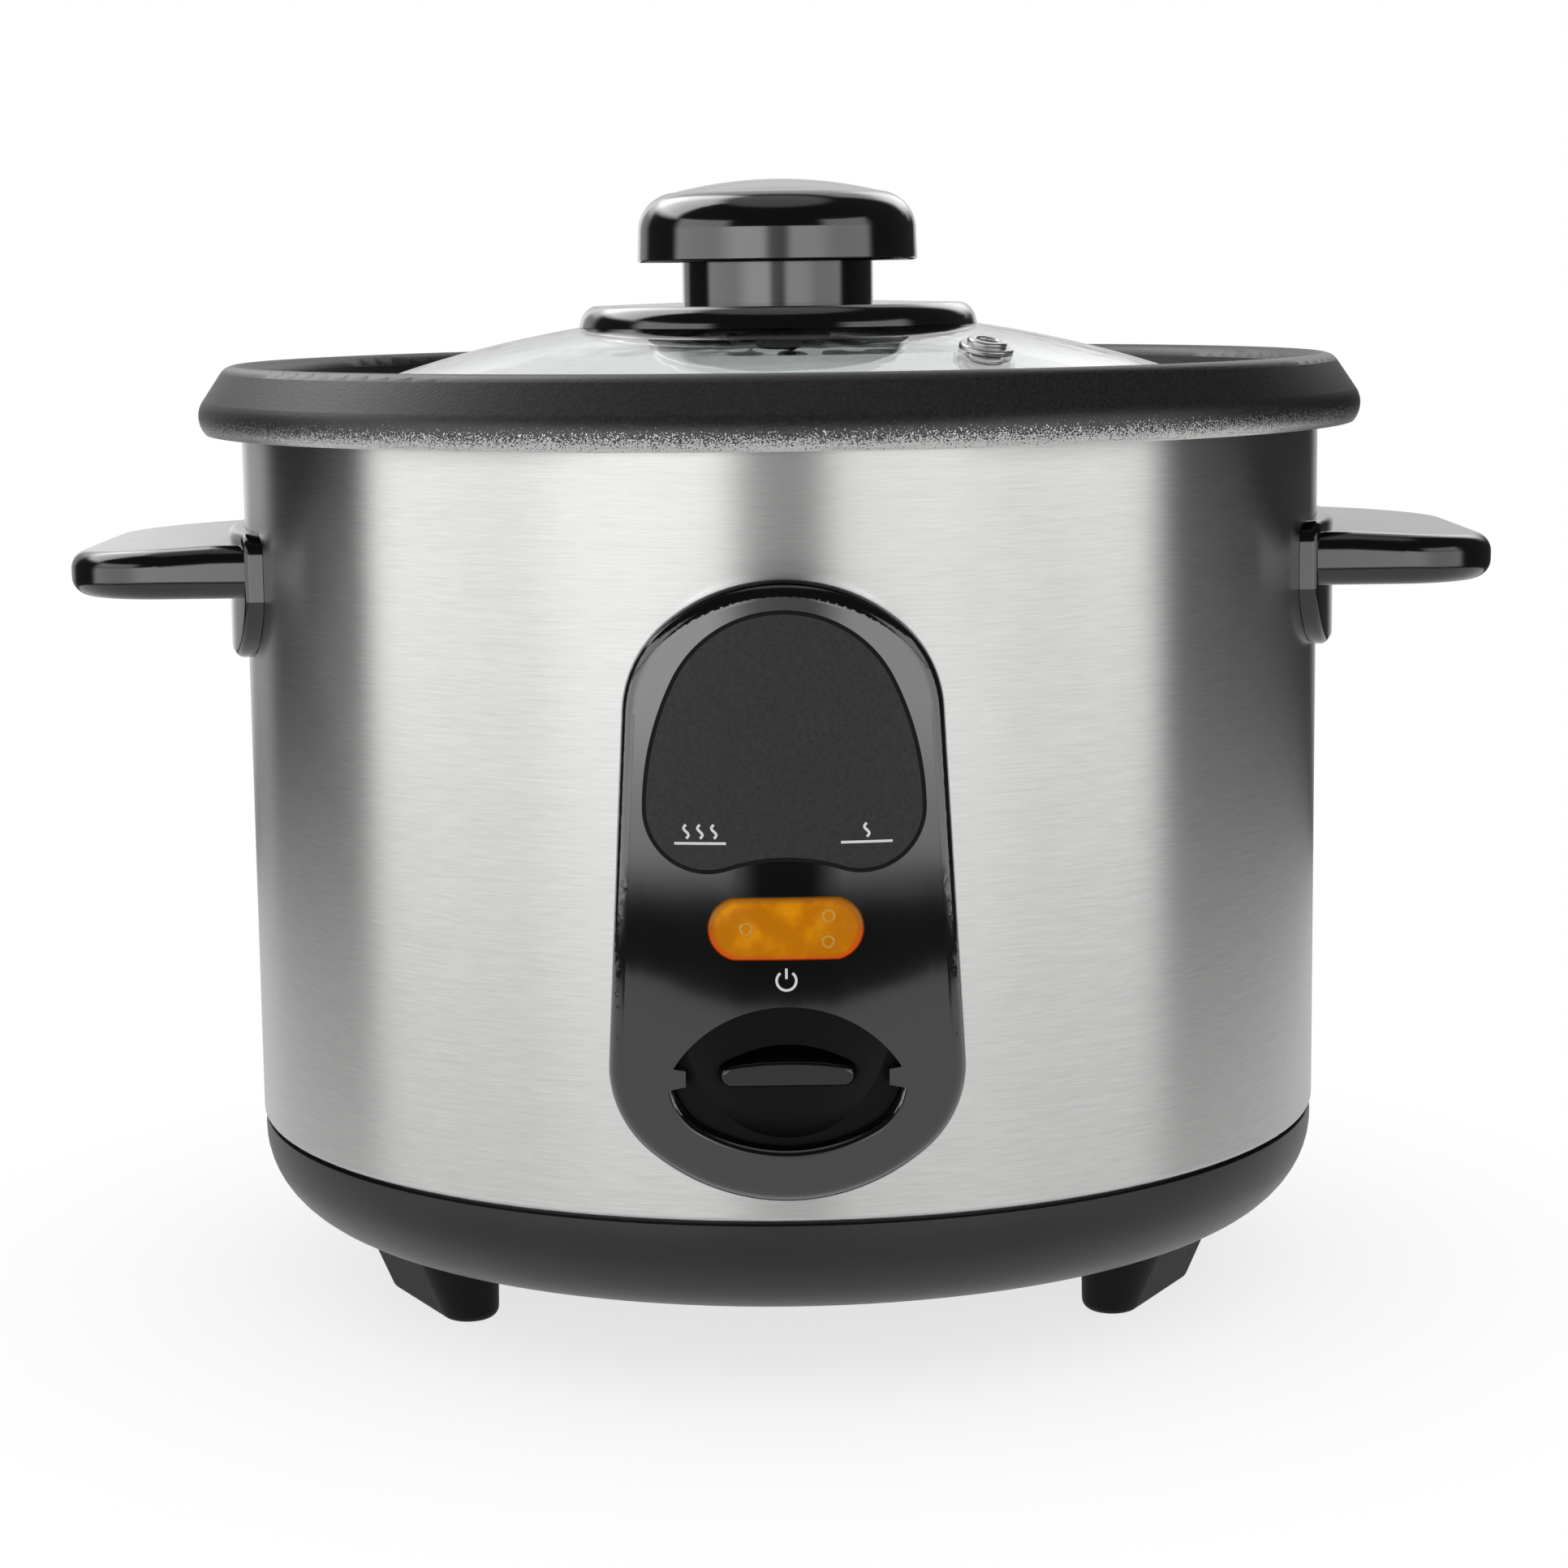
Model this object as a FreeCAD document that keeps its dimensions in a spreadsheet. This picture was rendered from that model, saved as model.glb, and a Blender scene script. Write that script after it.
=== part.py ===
import FreeCAD, Part
import math
import os

import Sketcher

Vector = FreeCAD.Vector
Rotation = FreeCAD.Rotation
Placement = FreeCAD.Placement

UP = Vector(0, 0, 1)
FRONT = Vector(0, -1, 0)
REAR = Vector(0, 1, 0)
RIGHT = Vector(1, 0, 0)

# Turns that stand a flat sketch up in the front plane or in the side plane
IN_FRONT_PLANE = Rotation(Vector(1, 0, 0), 90)
IN_SIDE_PLANE = Rotation(Vector(1, 1, 1), 120)

# Turns that lay a Z axis along the front, the rear or the right
TO_FRONT = Rotation(Vector(1, 0, 0), 90)
TO_REAR = Rotation(Vector(1, 0, 0), -90)
TO_RIGHT = Rotation(Vector(0, 1, 0), 90)

# Sides of the section that spring wire and leads are drawn with
WIRE_SIDES = 8

# Where the thermal fuse lies under the liner, and how long it is
FUSE_PLACE = Vector(-46, 8, 46)
FUSE_LENGTH = 14

# Driving sizes in millimetres, heights measured from the floor
SIZES = {
    # Brushed steel drum
    "body_radius": 100,
    "shell_wall": 0.6,
    "shell_bottom": 32,
    "shell_top": 163.6,
    "shell_edge": 0.8,
    "shell_flange": 4.2,
    "shell_hem": 1.4,
    "window_half": 20,
    "window_low": 41,
    "window_high": 91,
    "window_corner": 6,
    "seat_gap": 0.05,
    # Sheet liner
    "liner_radius": 95.3,
    "liner_wall": 0.6,
    "liner_floor": 50,
    "liner_corner": 12,
    "liner_neck": 146,
    "collar_low": 150,
    "collar_high": 156.5,
    "liner_hole": 30,
    # Moulded base and feet
    "base_radius": 99.6,
    "base_shoulder": 31.2,
    "base_floor": 14,
    "base_floor_radius": 88,
    "base_bulge": 15.6,
    "base_wall": 2.4,
    "neck_radius": 98.2,
    "neck_inner": 95.8,
    "foot_turn": 29,
    "foot_circle": 72.5,
    "foot_half": 11.5,
    "foot_end": 5,
    "foot_flare": 3,
    "foot_round": 2,
    "foot_peg": 4,
    "boss_circle": 44,
    "boss_radius": 6,
    "slot_inner": 20,
    "slot_outer": 36,
    "slot_width": 3,
    # Long screws that clamp base, liner and plate
    "screw_radius": 2,
    "screw_head": 4,
    "screw_recess": 4.4,
    "screw_reach": 62,
    "post_radius": 4.5,
    # Heating plate and its element
    "plate_radius": 78,
    "plate_apex": 66.8,
    "plate_fall": 1.4,
    "flat_radius": 25,
    "plate_bottom": 57,
    "plate_hole": 20.5,
    "plate_round": 3,
    "element_circle": 56,
    "element_tube": 3.5,
    "element_height": 56.6,
    "bead_radius": 4.5,
    # Sensor and its magnet
    "cup_radius": 24,
    "cup_flange": 33,
    "cup_floor": 38,
    "cup_wall": 0.8,
    "cap_radius": 19.5,
    "cap_top": 66.7,
    "cap_wall": 1.2,
    "cap_skirt": 18.3,
    "cap_low": 52,
    "cap_lip": 21.5,
    "coil_radius": 15.3,
    "coil_wire": 0.7,
    "coil_pitch": 5,
    "ferrite_radius": 10,
    "ferrite_low": 60,
    "magnet_radius": 9.8,
    "magnet_low": 49.6,
    "magnet_high": 54.2,
    "rod_radius": 2.6,
    "rod_collar": 5,
    "rod_collar_low": 30.7,
    "rod_foot": 25.5,
    # Lever, its pin and the contacts
    "pivot_back": 46,
    "pivot_height": 25,
    "pin_radius": 1.5,
    "lever_low": 28.2,
    "lever_wall": 1.6,
    "lever_half": 8,
    "lever_front": 94.2,
    "lever_nose": 6,
    "lever_rear": 7,
    "fork_half": 3.2,
    "bracket_half": 15,
    "bracket_top": 30,
    "contact_back": 8,
    "contact_half": 3,
    "contact_root": 42,
    "leaf_low": 31,
    "leaf_wall": 0.4,
    "roll_radius": 0.95,
    "rivet_across": 30,
    "rivet_radius": 2.2,
    "block_top": 40,
    # Inner pot
    "pot_apex": 68.6,
    "pot_wall": 1.5,
    "pot_floor_radius": 72,
    "pot_floor_edge": 67.3,
    "pot_corner": 16.2,
    "pot_radius": 88.5,
    "pot_corner_top": 83.4,
    "ledge_height": 157.8,
    "ledge_round": 2.5,
    "ledge_outer": 93.6,
    "rim_foot_radius": 95.3,
    "rim_foot_height": 159.1,
    "rim_inner_radius": 98.12,
    "rim_inner_height": 169.2,
    "crest_round": 3,
    "rim_outer_radius": 103.46,
    "rim_outer_height": 170.1,
    "rim_slope_radius": 106.9,
    "rim_slope_height": 165,
    "rim_round": 4.85,
    "rim_lip_radius": 106.6,
    "rim_lip_height": 159.1,
    # Glass lid
    "lid_dome": 238,
    "lid_apex": 180.22,
    "lid_wall": 4,
    "lid_radius": 93.2,
    "lid_seat": 158.1,
    "lid_edge": 1.4,
    "lid_hole": 3.2,
    "vent_across": 36.2,
    "vent_front": 45,
    "vent_flange": 4.8,
    "vent_step": 3.5,
    "vent_bore": 1.9,
    "vent_sleeve": 2.9,
    # Knob
    "knob_radius": 26.1,
    "knob_low": 189.1,
    "knob_top": 204.3,
    "knob_dome": 80,
    "knob_shoulder": 6.6,
    "stem_radius": 17.8,
    "stem_low": 181.6,
    "collar_radius": 37.2,
    "collar_shoulder": 34.6,
    "knob_screw_radius": 2.2,
    # Front panel
    "panel_face": 107,
    "panel_wall": 2.2,
    "panel_edge": 3,
    "panel_top": 138.8,
    "panel_low": 36.8,
    "panel_top_arc": 29.5,
    "panel_top_corner": 20,
    "panel_low_arc": 36,
    "panel_low_corner": 18,
    "panel_high_half": 26.3,
    "panel_high": 114,
    "panel_wide_half": 28.9,
    "panel_wide": 66,
    "insert_top": 133.6,
    "insert_low": 94,
    "insert_top_arc": 19.5,
    "insert_side_arc": 48,
    "insert_corner": 10,
    "insert_wave": 30,
    "insert_wide_half": 22.2,
    "insert_wide": 106.6,
    "insert_depth": 0.8,
    "insert_seam": 0.25,
    "lens_half": 12.35,
    "lens_low": 77.6,
    "lens_high": 87.6,
    "lens_end": 5.15,
    "lens_proud": 0.6,
    "lens_flange": 1.2,
    "eye_arc": 21.8,
    "eye_tab_half": 16.55,
    "eye_high_half": 18.6,
    "eye_high": 59.3,
    "eye_mid_half": 19.4,
    "eye_mid": 55.7,
    "eye_corner_half": 14.5,
    "eye_corner_height": 48.4,
    "eye_corner": 9.6,
    "eye_low_arc": 30,
    "panel_boss_across": 15,
    "panel_boss_height": 113,
    "lamp_across": 6.4,
    "lamp_height": 82.6,
    "lamp_back": 99.9,
    # Switch key
    "key_half": 18.4,
    "key_face": 104.4,
    "key_back": 100.7,
    "key_low": 45.7,
    "key_high": 75.6,
    "key_web_half": 7,
    "key_step": 49.5,
    "scoop_half": 24.5,
    "scoop_rise": 29,
    "scoop_depth": 3.4,
    "scoop_height": 76,
    "rail_low": 60,
    "rail_high": 75,
    "rib_half": 11.5,
    "rib_nose_half": 10.8,
    "rib_low": 56.2,
    "rib_high": 60.2,
    "rib_root": 63,
    "rib_corner": 2,
    "rib_edge": 0.8,
    "rib_front": 105.8,
    # Handles
    "handle_tip": 130,
    "plate_proud": 3,
    "plate_half": 38.5,
    "plate_foot_half": 27,
    "plate_low": 119,
    "plate_high": 142,
    "grip_low": 130.4,
    "grip_root": 140,
    "grip_end": 138.4,
    "grip_half": 38,
    "grip_corner": 19,
    "grip_edge": 3.4,
    "pocket_half": 19,
    "handle_screw_along": 28,
    "handle_screw_height": 135.2,
    # Rear power inlet
    "inlet_height": 42,
    "inlet_flange_half": 19,
    "inlet_flange_rise": 9,
    "inlet_proud": 2.6,
    "inlet_half": 15,
    "inlet_rise": 6.8,
    "socket_half": 12,
    "socket_rise": 4.6,
    "socket_floor": 87,
    "inlet_back": 84,
    "blade_across": 6.4,
    "blade_radius": 1.6,
    "lead_radius": 1.1,
}


class Size:
    """A length that carries its number and the sheet expression behind it."""

    def __init__(self, number, text):
        self.number = float(number)
        self.text = text

    @classmethod
    def of(cls, value):
        """Take a plain number or a Size and give a Size."""
        if isinstance(value, Size):
            return value
        return cls(value, "(" + repr(float(value)) + ")")

    def __add__(self, other):
        other = Size.of(other)
        return Size(self.number + other.number, "(" + self.text + " + " + other.text + ")")

    def __sub__(self, other):
        other = Size.of(other)
        return Size(self.number - other.number, "(" + self.text + " - " + other.text + ")")

    def __mul__(self, other):
        other = Size.of(other)
        return Size(self.number * other.number, "(" + self.text + " * " + other.text + ")")

    def __truediv__(self, other):
        other = Size.of(other)
        return Size(self.number / other.number, "(" + self.text + " / " + other.text + ")")

    def __neg__(self):
        return Size(-self.number, "(0 - " + self.text + ")")

    def root(self):
        """The square root."""
        return Size(math.sqrt(self.number), "sqrt(" + self.text + ")")

    def __radd__(self, other):
        return Size.of(other) + self

    def __rsub__(self, other):
        return Size.of(other) - self

    def __rmul__(self, other):
        return Size.of(other) * self


class SheetSizes:
    """The driving sizes, written to a spreadsheet and read back as bound lengths."""

    def __init__(self, owner):
        self.sheet = owner.addObject("Spreadsheet::Sheet", "Sizes")
        for row, (alias, number) in enumerate(SIZES.items(), start=1):
            self.sheet.set("A" + str(row), alias)
            self.sheet.set("B" + str(row), str(number))
            self.sheet.setAlias("B" + str(row), alias)

    def __getattr__(self, alias):
        return Size(SIZES[alias], "Sizes." + alias)


document = FreeCAD.newDocument("rice_cooker")
size = SheetSizes(document)
document.recompute()
nodes = {}


def bind(thing, prop, value):
    """Tie one property to the sheet."""
    thing.setExpression(prop, Size.of(value).text)


def place(thing, x=0, y=0, z=0, turn=Rotation()):
    """Turn an object and tie its position to the sheet."""
    thing.Placement = Placement(Vector(0, 0, 0), turn)
    for letter, value in (("x", x), ("y", y), ("z", z)):
        bind(thing, "Placement.Base." + letter, value)
    return thing


def node(label, thing):
    """Give the finished object of one sub-part its name."""
    thing.Label = label
    nodes[label] = thing
    return thing


def arc_between(start, end, radius, turn):
    """The short arc from start to end, turning left or right, and which of its ends is the start."""
    across = end - start
    half = across.Length / 2
    side = Vector(-across.y, across.x, 0).normalize()
    if turn == "right":
        side = side * -1
    reach = math.sqrt(max(radius * radius - half * half, 0))
    centre = start + across * 0.5 + side * reach
    first, last = (start, end) if turn == "left" else (end, start)
    begin = math.atan2(first.y - centre.y, first.x - centre.x)
    finish = math.atan2(last.y - centre.y, last.x - centre.x)
    arc = Part.ArcOfCircle(Part.Circle(centre, UP, radius), begin, finish)
    ends = (1, 2) if turn == "left" else (2, 1)
    return arc, ends


def fix_point(rules, bound, geometry, end, x, y):
    """Rules that hold a point of the sketch at x, y."""
    for letter, axis, value in (("X", -2, Size.of(x)), ("Y", -1, Size.of(y))):
        if abs(value.number) < 1e-9:
            rules.append(Sketcher.Constraint("PointOnObject", geometry, end, axis))
        else:
            bound[len(rules)] = value
            rules.append(Sketcher.Constraint("Distance" + letter, -1, 1, geometry, end, value.number))


def fix_radius(rules, bound, geometry, radius):
    """A rule that holds the radius of an arc or a circle."""
    bound[len(rules)] = Size.of(radius)
    rules.append(Sketcher.Constraint("Radius", geometry, Size.of(radius).number))


def apply_rules(sketch, rules, bound):
    """Add the rules to the sketch and tie their values to the sheet."""
    places = sketch.addConstraint(rules)
    for index, value in bound.items():
        sketch.setExpression("Constraints[" + str(places[index]) + "]", value.text)


def draw(sketch, steps, closed=True):
    """Draw an outline corner by corner; a step is (x, y) or, along an arc, (x, y, radius, turn)."""
    corners = [Vector(Size.of(step[0]).number, Size.of(step[1]).number, 0) for step in steps]
    rules = []
    bound = {}
    edges = []
    for index, step in enumerate(steps):
        if index == 0 and not closed:
            continue
        start = corners[index - 1]
        if len(step) == 2:
            shape, ends = Part.LineSegment(start, corners[index]), (1, 2)
        else:
            shape, ends = arc_between(start, corners[index], Size.of(step[2]).number, step[3])
        geometry = sketch.addGeometry(shape, False)
        edges.append((geometry, ends))
        fix_point(rules, bound, geometry, ends[1], step[0], step[1])
        if len(step) == 4:
            fix_radius(rules, bound, geometry, step[2])
    for before, after in zip(edges, edges[1:]):
        rules.append(Sketcher.Constraint("Coincident", before[0], before[1][1], after[0], after[1][0]))
    if closed:
        last, first = edges[-1], edges[0]
        rules.append(Sketcher.Constraint("Coincident", last[0], last[1][1], first[0], first[1][0]))
    else:
        fix_point(rules, bound, edges[0][0], edges[0][1][0], steps[0][0], steps[0][1])
    apply_rules(sketch, rules, bound)
    return sketch


def draw_circle(sketch, x, y, radius):
    """Draw one circle."""
    centre = Vector(Size.of(x).number, Size.of(y).number, 0)
    geometry = sketch.addGeometry(Part.Circle(centre, UP, Size.of(radius).number), False)
    rules = []
    bound = {}
    fix_point(rules, bound, geometry, 3, x, y)
    fix_radius(rules, bound, geometry, radius)
    apply_rules(sketch, rules, bound)
    return sketch


def draw_even_outline(sketch, crown, flank, keel, joins):
    """Draw a smooth closed outline that is the same left and right of the upright axis.

    crown and keel are (radius, height, turn) of the arcs across the top and the bottom. flank lists the
    pieces between them down the right side, each (radius or None for a straight run, turn, points it passes
    through). joins are near the places where neighbouring pieces meet on the right.
    """
    right = [Vector(x, y, 0) for x, y in joins]
    left = [Vector(-x, y, 0) for x, y in joins]
    rules = []
    bound = {}

    def add(start, end, radius, turn):
        if radius is None:
            return sketch.addGeometry(Part.LineSegment(start, end), False), (1, 2)
        arc, ends = arc_between(start, end, Size.of(radius).number, turn)
        return sketch.addGeometry(arc, False), ends

    top = add(left[0], right[0], crown[0], crown[2])
    falling = [add(right[i], right[i + 1], piece[0], piece[1]) for i, piece in enumerate(flank)]
    low = add(right[-1], left[-1], keel[0], keel[2])
    rising = [add(left[i + 1], left[i], piece[0], piece[1]) for i, piece in enumerate(flank)]
    chain = [top] + falling + [low]
    for before, after in zip(chain, chain[1:]):
        rules.append(Sketcher.Constraint("Tangent", before[0], before[1][1], after[0], after[1][0]))
    back = [low] + rising[::-1] + [top]
    for before, after in zip(back, back[1:]):
        rules.append(Sketcher.Constraint("Coincident", before[0], before[1][1], after[0], after[1][0]))
    for arc in (top, low):
        rules.append(Sketcher.Constraint("PointOnObject", arc[0], 3, -2))
        rules.append(Sketcher.Constraint("Horizontal", arc[0], 1, arc[0], 2))
    for one, other in list(zip(falling, rising))[:-1]:
        rules.append(Sketcher.Constraint("Symmetric", one[0], one[1][1], other[0], other[1][0], -2))
    for (radius, height, turn), arc, outward in ((crown, top, -1), (keel, low, 1)):
        fix_radius(rules, bound, arc[0], radius)
        middle = Size.of(height) + Size.of(radius) * (outward if turn == "right" else -outward)
        bound[len(rules)] = middle
        rules.append(Sketcher.Constraint("DistanceY", -1, 1, arc[0], 3, middle.number))
    for (radius, turn, points), one, other in zip(flank, falling, rising):
        if radius is not None:
            fix_radius(rules, bound, one[0], radius)
            fix_radius(rules, bound, other[0], radius)
        for x, y in points:
            mark = sketch.addGeometry(Part.Point(Vector(x.number, y.number, 0)), True)
            fix_point(rules, bound, mark, 1, x, y)
            rules.append(Sketcher.Constraint("PointOnObject", mark, 1, one[0]))
    apply_rules(sketch, rules, bound)
    return sketch


def free_sketch(name, turn):
    """A sketch of its own, stood up by a turn."""
    sketch = document.addObject("Sketcher::SketchObject", name)
    sketch.Placement = Placement(Vector(0, 0, 0), turn)
    return sketch


def body_sketch(body, name, role, lift=None):
    """A sketch on one of the body's own planes, lifted along the plane's normal."""
    sketch = body.newObject("Sketcher::SketchObject", name)
    plane = [feature for feature in body.Origin.OriginFeatures if feature.Role == role][0]
    sketch.AttachmentSupport = [(plane, "")]
    sketch.MapMode = "FlatFace"
    if lift is not None:
        bind(sketch, "AttachmentOffset.Base.z", lift)
    return sketch


def new_body(name):
    """An empty body."""
    return document.addObject("PartDesign::Body", name)


def turned_body(name, steps):
    """A body turned about the upright axis from its half section."""
    body = new_body(name)
    sketch = draw(body_sketch(body, name + "_section", "XZ_Plane"), steps)
    feature = body.newObject("PartDesign::Revolution", name + "_turned")
    feature.Profile = (sketch, [""])
    feature.ReferenceAxis = (sketch, ["V_Axis"])
    feature.Angle = 360
    return body


def turned_cut(body, name, steps):
    """Cut a turned groove into a body."""
    sketch = draw(body_sketch(body, name + "_section", "XZ_Plane"), steps)
    feature = body.newObject("PartDesign::Groove", name)
    feature.Profile = (sketch, [""])
    feature.ReferenceAxis = (sketch, ["V_Axis"])
    feature.Angle = 360
    return feature


def padded(body, name, sketch, length):
    """Pad a sketch of a body along its normal."""
    feature = body.newObject("PartDesign::Pad", name)
    feature.Profile = (sketch, [""])
    bind(feature, "Length", length)
    return feature


def pocketed(body, name, sketch, along_normal, length=None):
    """Cut a sketch out of a body, all the way or to a length, along its normal or against it."""
    feature = body.newObject("PartDesign::Pocket", name)
    feature.Profile = (sketch, [""])
    feature.Reversed = along_normal
    if length is None:
        feature.Type = "ThroughAll"
    else:
        bind(feature, "Length", length)
    return feature


def ring_pattern(body, name, feature, count):
    """Repeat a feature around the upright axis."""
    axis = [item for item in body.Origin.OriginFeatures if item.Role == "Z_Axis"][0]
    pattern = body.newObject("PartDesign::PolarPattern", name)
    pattern.Originals = [feature]
    pattern.Axis = (axis, [""])
    pattern.Angle = 360
    pattern.Occurrences = count
    body.Tip = pattern
    return pattern


def cylinder(name, radius, height, x=0, y=0, z=0, turn=Rotation()):
    """A plain cylinder."""
    thing = document.addObject("Part::Cylinder", name)
    bind(thing, "Radius", radius)
    bind(thing, "Height", height)
    return place(thing, x, y, z, turn)


def box(name, low, high):
    """A block between two corners."""
    thing = document.addObject("Part::Box", name)
    for prop, start, end in zip(("Length", "Width", "Height"), low, high):
        bind(thing, prop, Size.of(end) - Size.of(start))
    return place(thing, *low)


def cut(name, base, tool):
    """One object less another."""
    thing = document.addObject("Part::Cut", name)
    thing.Base = base
    thing.Tool = tool
    return thing


def fuse(name, shapes):
    """Several objects joined into one."""
    thing = document.addObject("Part::MultiFuse", name)
    thing.Shapes = shapes
    thing.Refine = True
    return thing


def common(name, shapes):
    """What several objects share."""
    thing = document.addObject("Part::MultiCommon", name)
    thing.Shapes = shapes
    return thing


def group(name, shapes):
    """Loose pieces of one kind kept together."""
    thing = document.addObject("Part::Compound", name)
    thing.Links = shapes
    return thing


def extruded(name, sketch, direction, length):
    """A sketch drawn out along a direction."""
    thing = document.addObject("Part::Extrusion", name)
    thing.Base = sketch
    thing.DirMode = "Custom"
    thing.Dir = direction
    thing.Solid = True
    bind(thing, "LengthFwd", length)
    return thing


def grown(name, sketch, distance):
    """The face inside a closed outline moved outward by a distance, or inward if it is negative."""
    thing = document.addObject("Part::Offset2D", name)
    thing.Source = sketch
    thing.Join = "Intersection"
    bind(thing, "Value", distance)
    return thing


def sleeve(name, inner, outer, low, high):
    """The space between two radii and two heights."""
    outside = cylinder(name + "_outside", outer, Size.of(high) - low, z=low)
    inside = cylinder(name + "_inside", inner, Size.of(high) - low, z=low)
    return cut(name, outside, inside)


def rounded(name, base, radius, chosen):
    """Round the edges that a test picks."""
    document.recompute()
    picked = [index for index, edge in enumerate(base.Shape.Edges, start=1) if chosen(edge)]
    thing = document.addObject("Part::Fillet", name)
    thing.Base = base
    thing.Edges = [(index, radius.number, radius.number) for index in picked]
    return thing


def mirrored(name, source, normal):
    """A mirror image through the origin."""
    thing = document.addObject("Part::Mirroring", name)
    thing.Source = source
    thing.Normal = normal
    return thing


def edge_points(edge):
    """A few points along an edge."""
    first, last = edge.ParameterRange
    return [edge.valueAt(first + (last - first) * step / 4) for step in range(5)]


def on_radius(radius):
    """A test for edges that lie all along one upright cylinder."""
    return lambda edge: all(abs(math.hypot(p.x, p.y) - radius.number) < 0.02 for p in edge_points(edge))


def rectangle_steps(half, low, high, corner):
    """Corners of a rectangle with rounded corners, centred on the upright axis."""
    return [
        (-half + corner, low, corner, "left"),
        (half - corner, low),
        (half, low + corner, corner, "left"),
        (half, high - corner),
        (half - corner, high, corner, "left"),
        (-half + corner, high),
        (-half, high - corner, corner, "left"),
        (-half, low + corner),
    ]


def make_outer_shell():
    """Brushed steel drum with a turned-in foot, a window behind the panel and one for the inlet."""
    radius = size.body_radius
    low = size.shell_bottom
    high = size.shell_top
    wall = size.shell_wall
    edge = size.shell_edge
    body = turned_body("shell", [
        (radius - size.shell_flange, low),
        (radius - edge, low),
        (radius, low + edge, edge, "left"),
        (radius, high - edge),
        (radius - edge, high, edge, "left"),
        (radius - size.shell_hem, high),
        (radius - size.shell_hem, high - wall),
        (radius - wall, high - wall),
        (radius - wall, low + wall),
        (radius - size.shell_flange, low + wall),
    ])
    window = body_sketch(body, "shell_window", "XZ_Plane")
    draw(window, rectangle_steps(size.window_half, size.window_low, size.window_high, size.window_corner))
    for side in (1, -1):
        draw_circle(window, size.panel_boss_across * side, size.panel_boss_height, size.screw_radius - 0.4)
    pocketed(body, "shell_front_cut", window, True)
    inlet = body_sketch(body, "shell_inlet", "XZ_Plane")
    rise = size.inlet_rise + 0.3
    draw(inlet, rectangle_steps(size.inlet_half + 0.3, size.inlet_height - rise, size.inlet_height + rise,
                                Size.of(0.9)))
    pocketed(body, "shell_rear_cut", inlet, False)
    holes = body_sketch(body, "shell_handle_holes", "YZ_Plane")
    for side in (1, -1):
        draw_circle(holes, size.handle_screw_along * side, size.handle_screw_height, size.screw_radius - 0.2)
    for along_normal in (True, False):
        pocketed(body, "shell_side_cut_" + str(int(along_normal)), holes, along_normal)
    return node("outer_shell", body)


def make_inner_liner():
    """Plain sheet drum that hangs in the shell by its collar and carries the heating plate on its floor."""
    outer = size.liner_radius
    inner = size.liner_radius - size.liner_wall
    floor = size.liner_floor
    top = size.liner_floor + size.liner_wall
    bend = size.liner_corner
    collar = size.body_radius - size.shell_wall - size.seat_gap
    lean = size.liner_wall * 0.4
    body = turned_body("liner", [
        (size.liner_hole, floor),
        (outer - bend, floor),
        (outer, floor + bend, bend, "left"),
        (outer, size.liner_neck),
        (collar, size.collar_low),
        (collar, size.collar_high),
        (collar - size.liner_wall, size.collar_high),
        (collar - size.liner_wall, size.collar_low + lean),
        (inner, size.liner_neck + lean),
        (inner, floor + bend),
        (outer - bend, top, bend - size.liner_wall, "right"),
        (size.liner_hole, top),
    ])
    holes = body_sketch(body, "liner_floor_holes", "XY_Plane")
    draw_circle(holes, 0, size.boss_circle, size.screw_radius + 0.3)
    pattern_source = pocketed(body, "liner_screw_hole", holes, True)
    ring_pattern(body, "liner_screw_holes", pattern_source, 3)
    passages = body_sketch(body, "liner_passages", "XY_Plane")
    for side in (1, -1):
        draw_circle(passages, size.element_circle * (0.5 * side), size.element_circle * 0.866,
                    size.bead_radius + 1.5)
    pocketed(body, "liner_terminal_holes", passages, True)
    return node("inner_liner", body)


def peg_place():
    """Where the peg of the right rear foot stands."""
    angle = math.radians(SIZES["foot_turn"])
    reach = size.foot_circle + size.foot_flare / 2
    return reach * math.cos(angle), reach * math.sin(angle)


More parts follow.
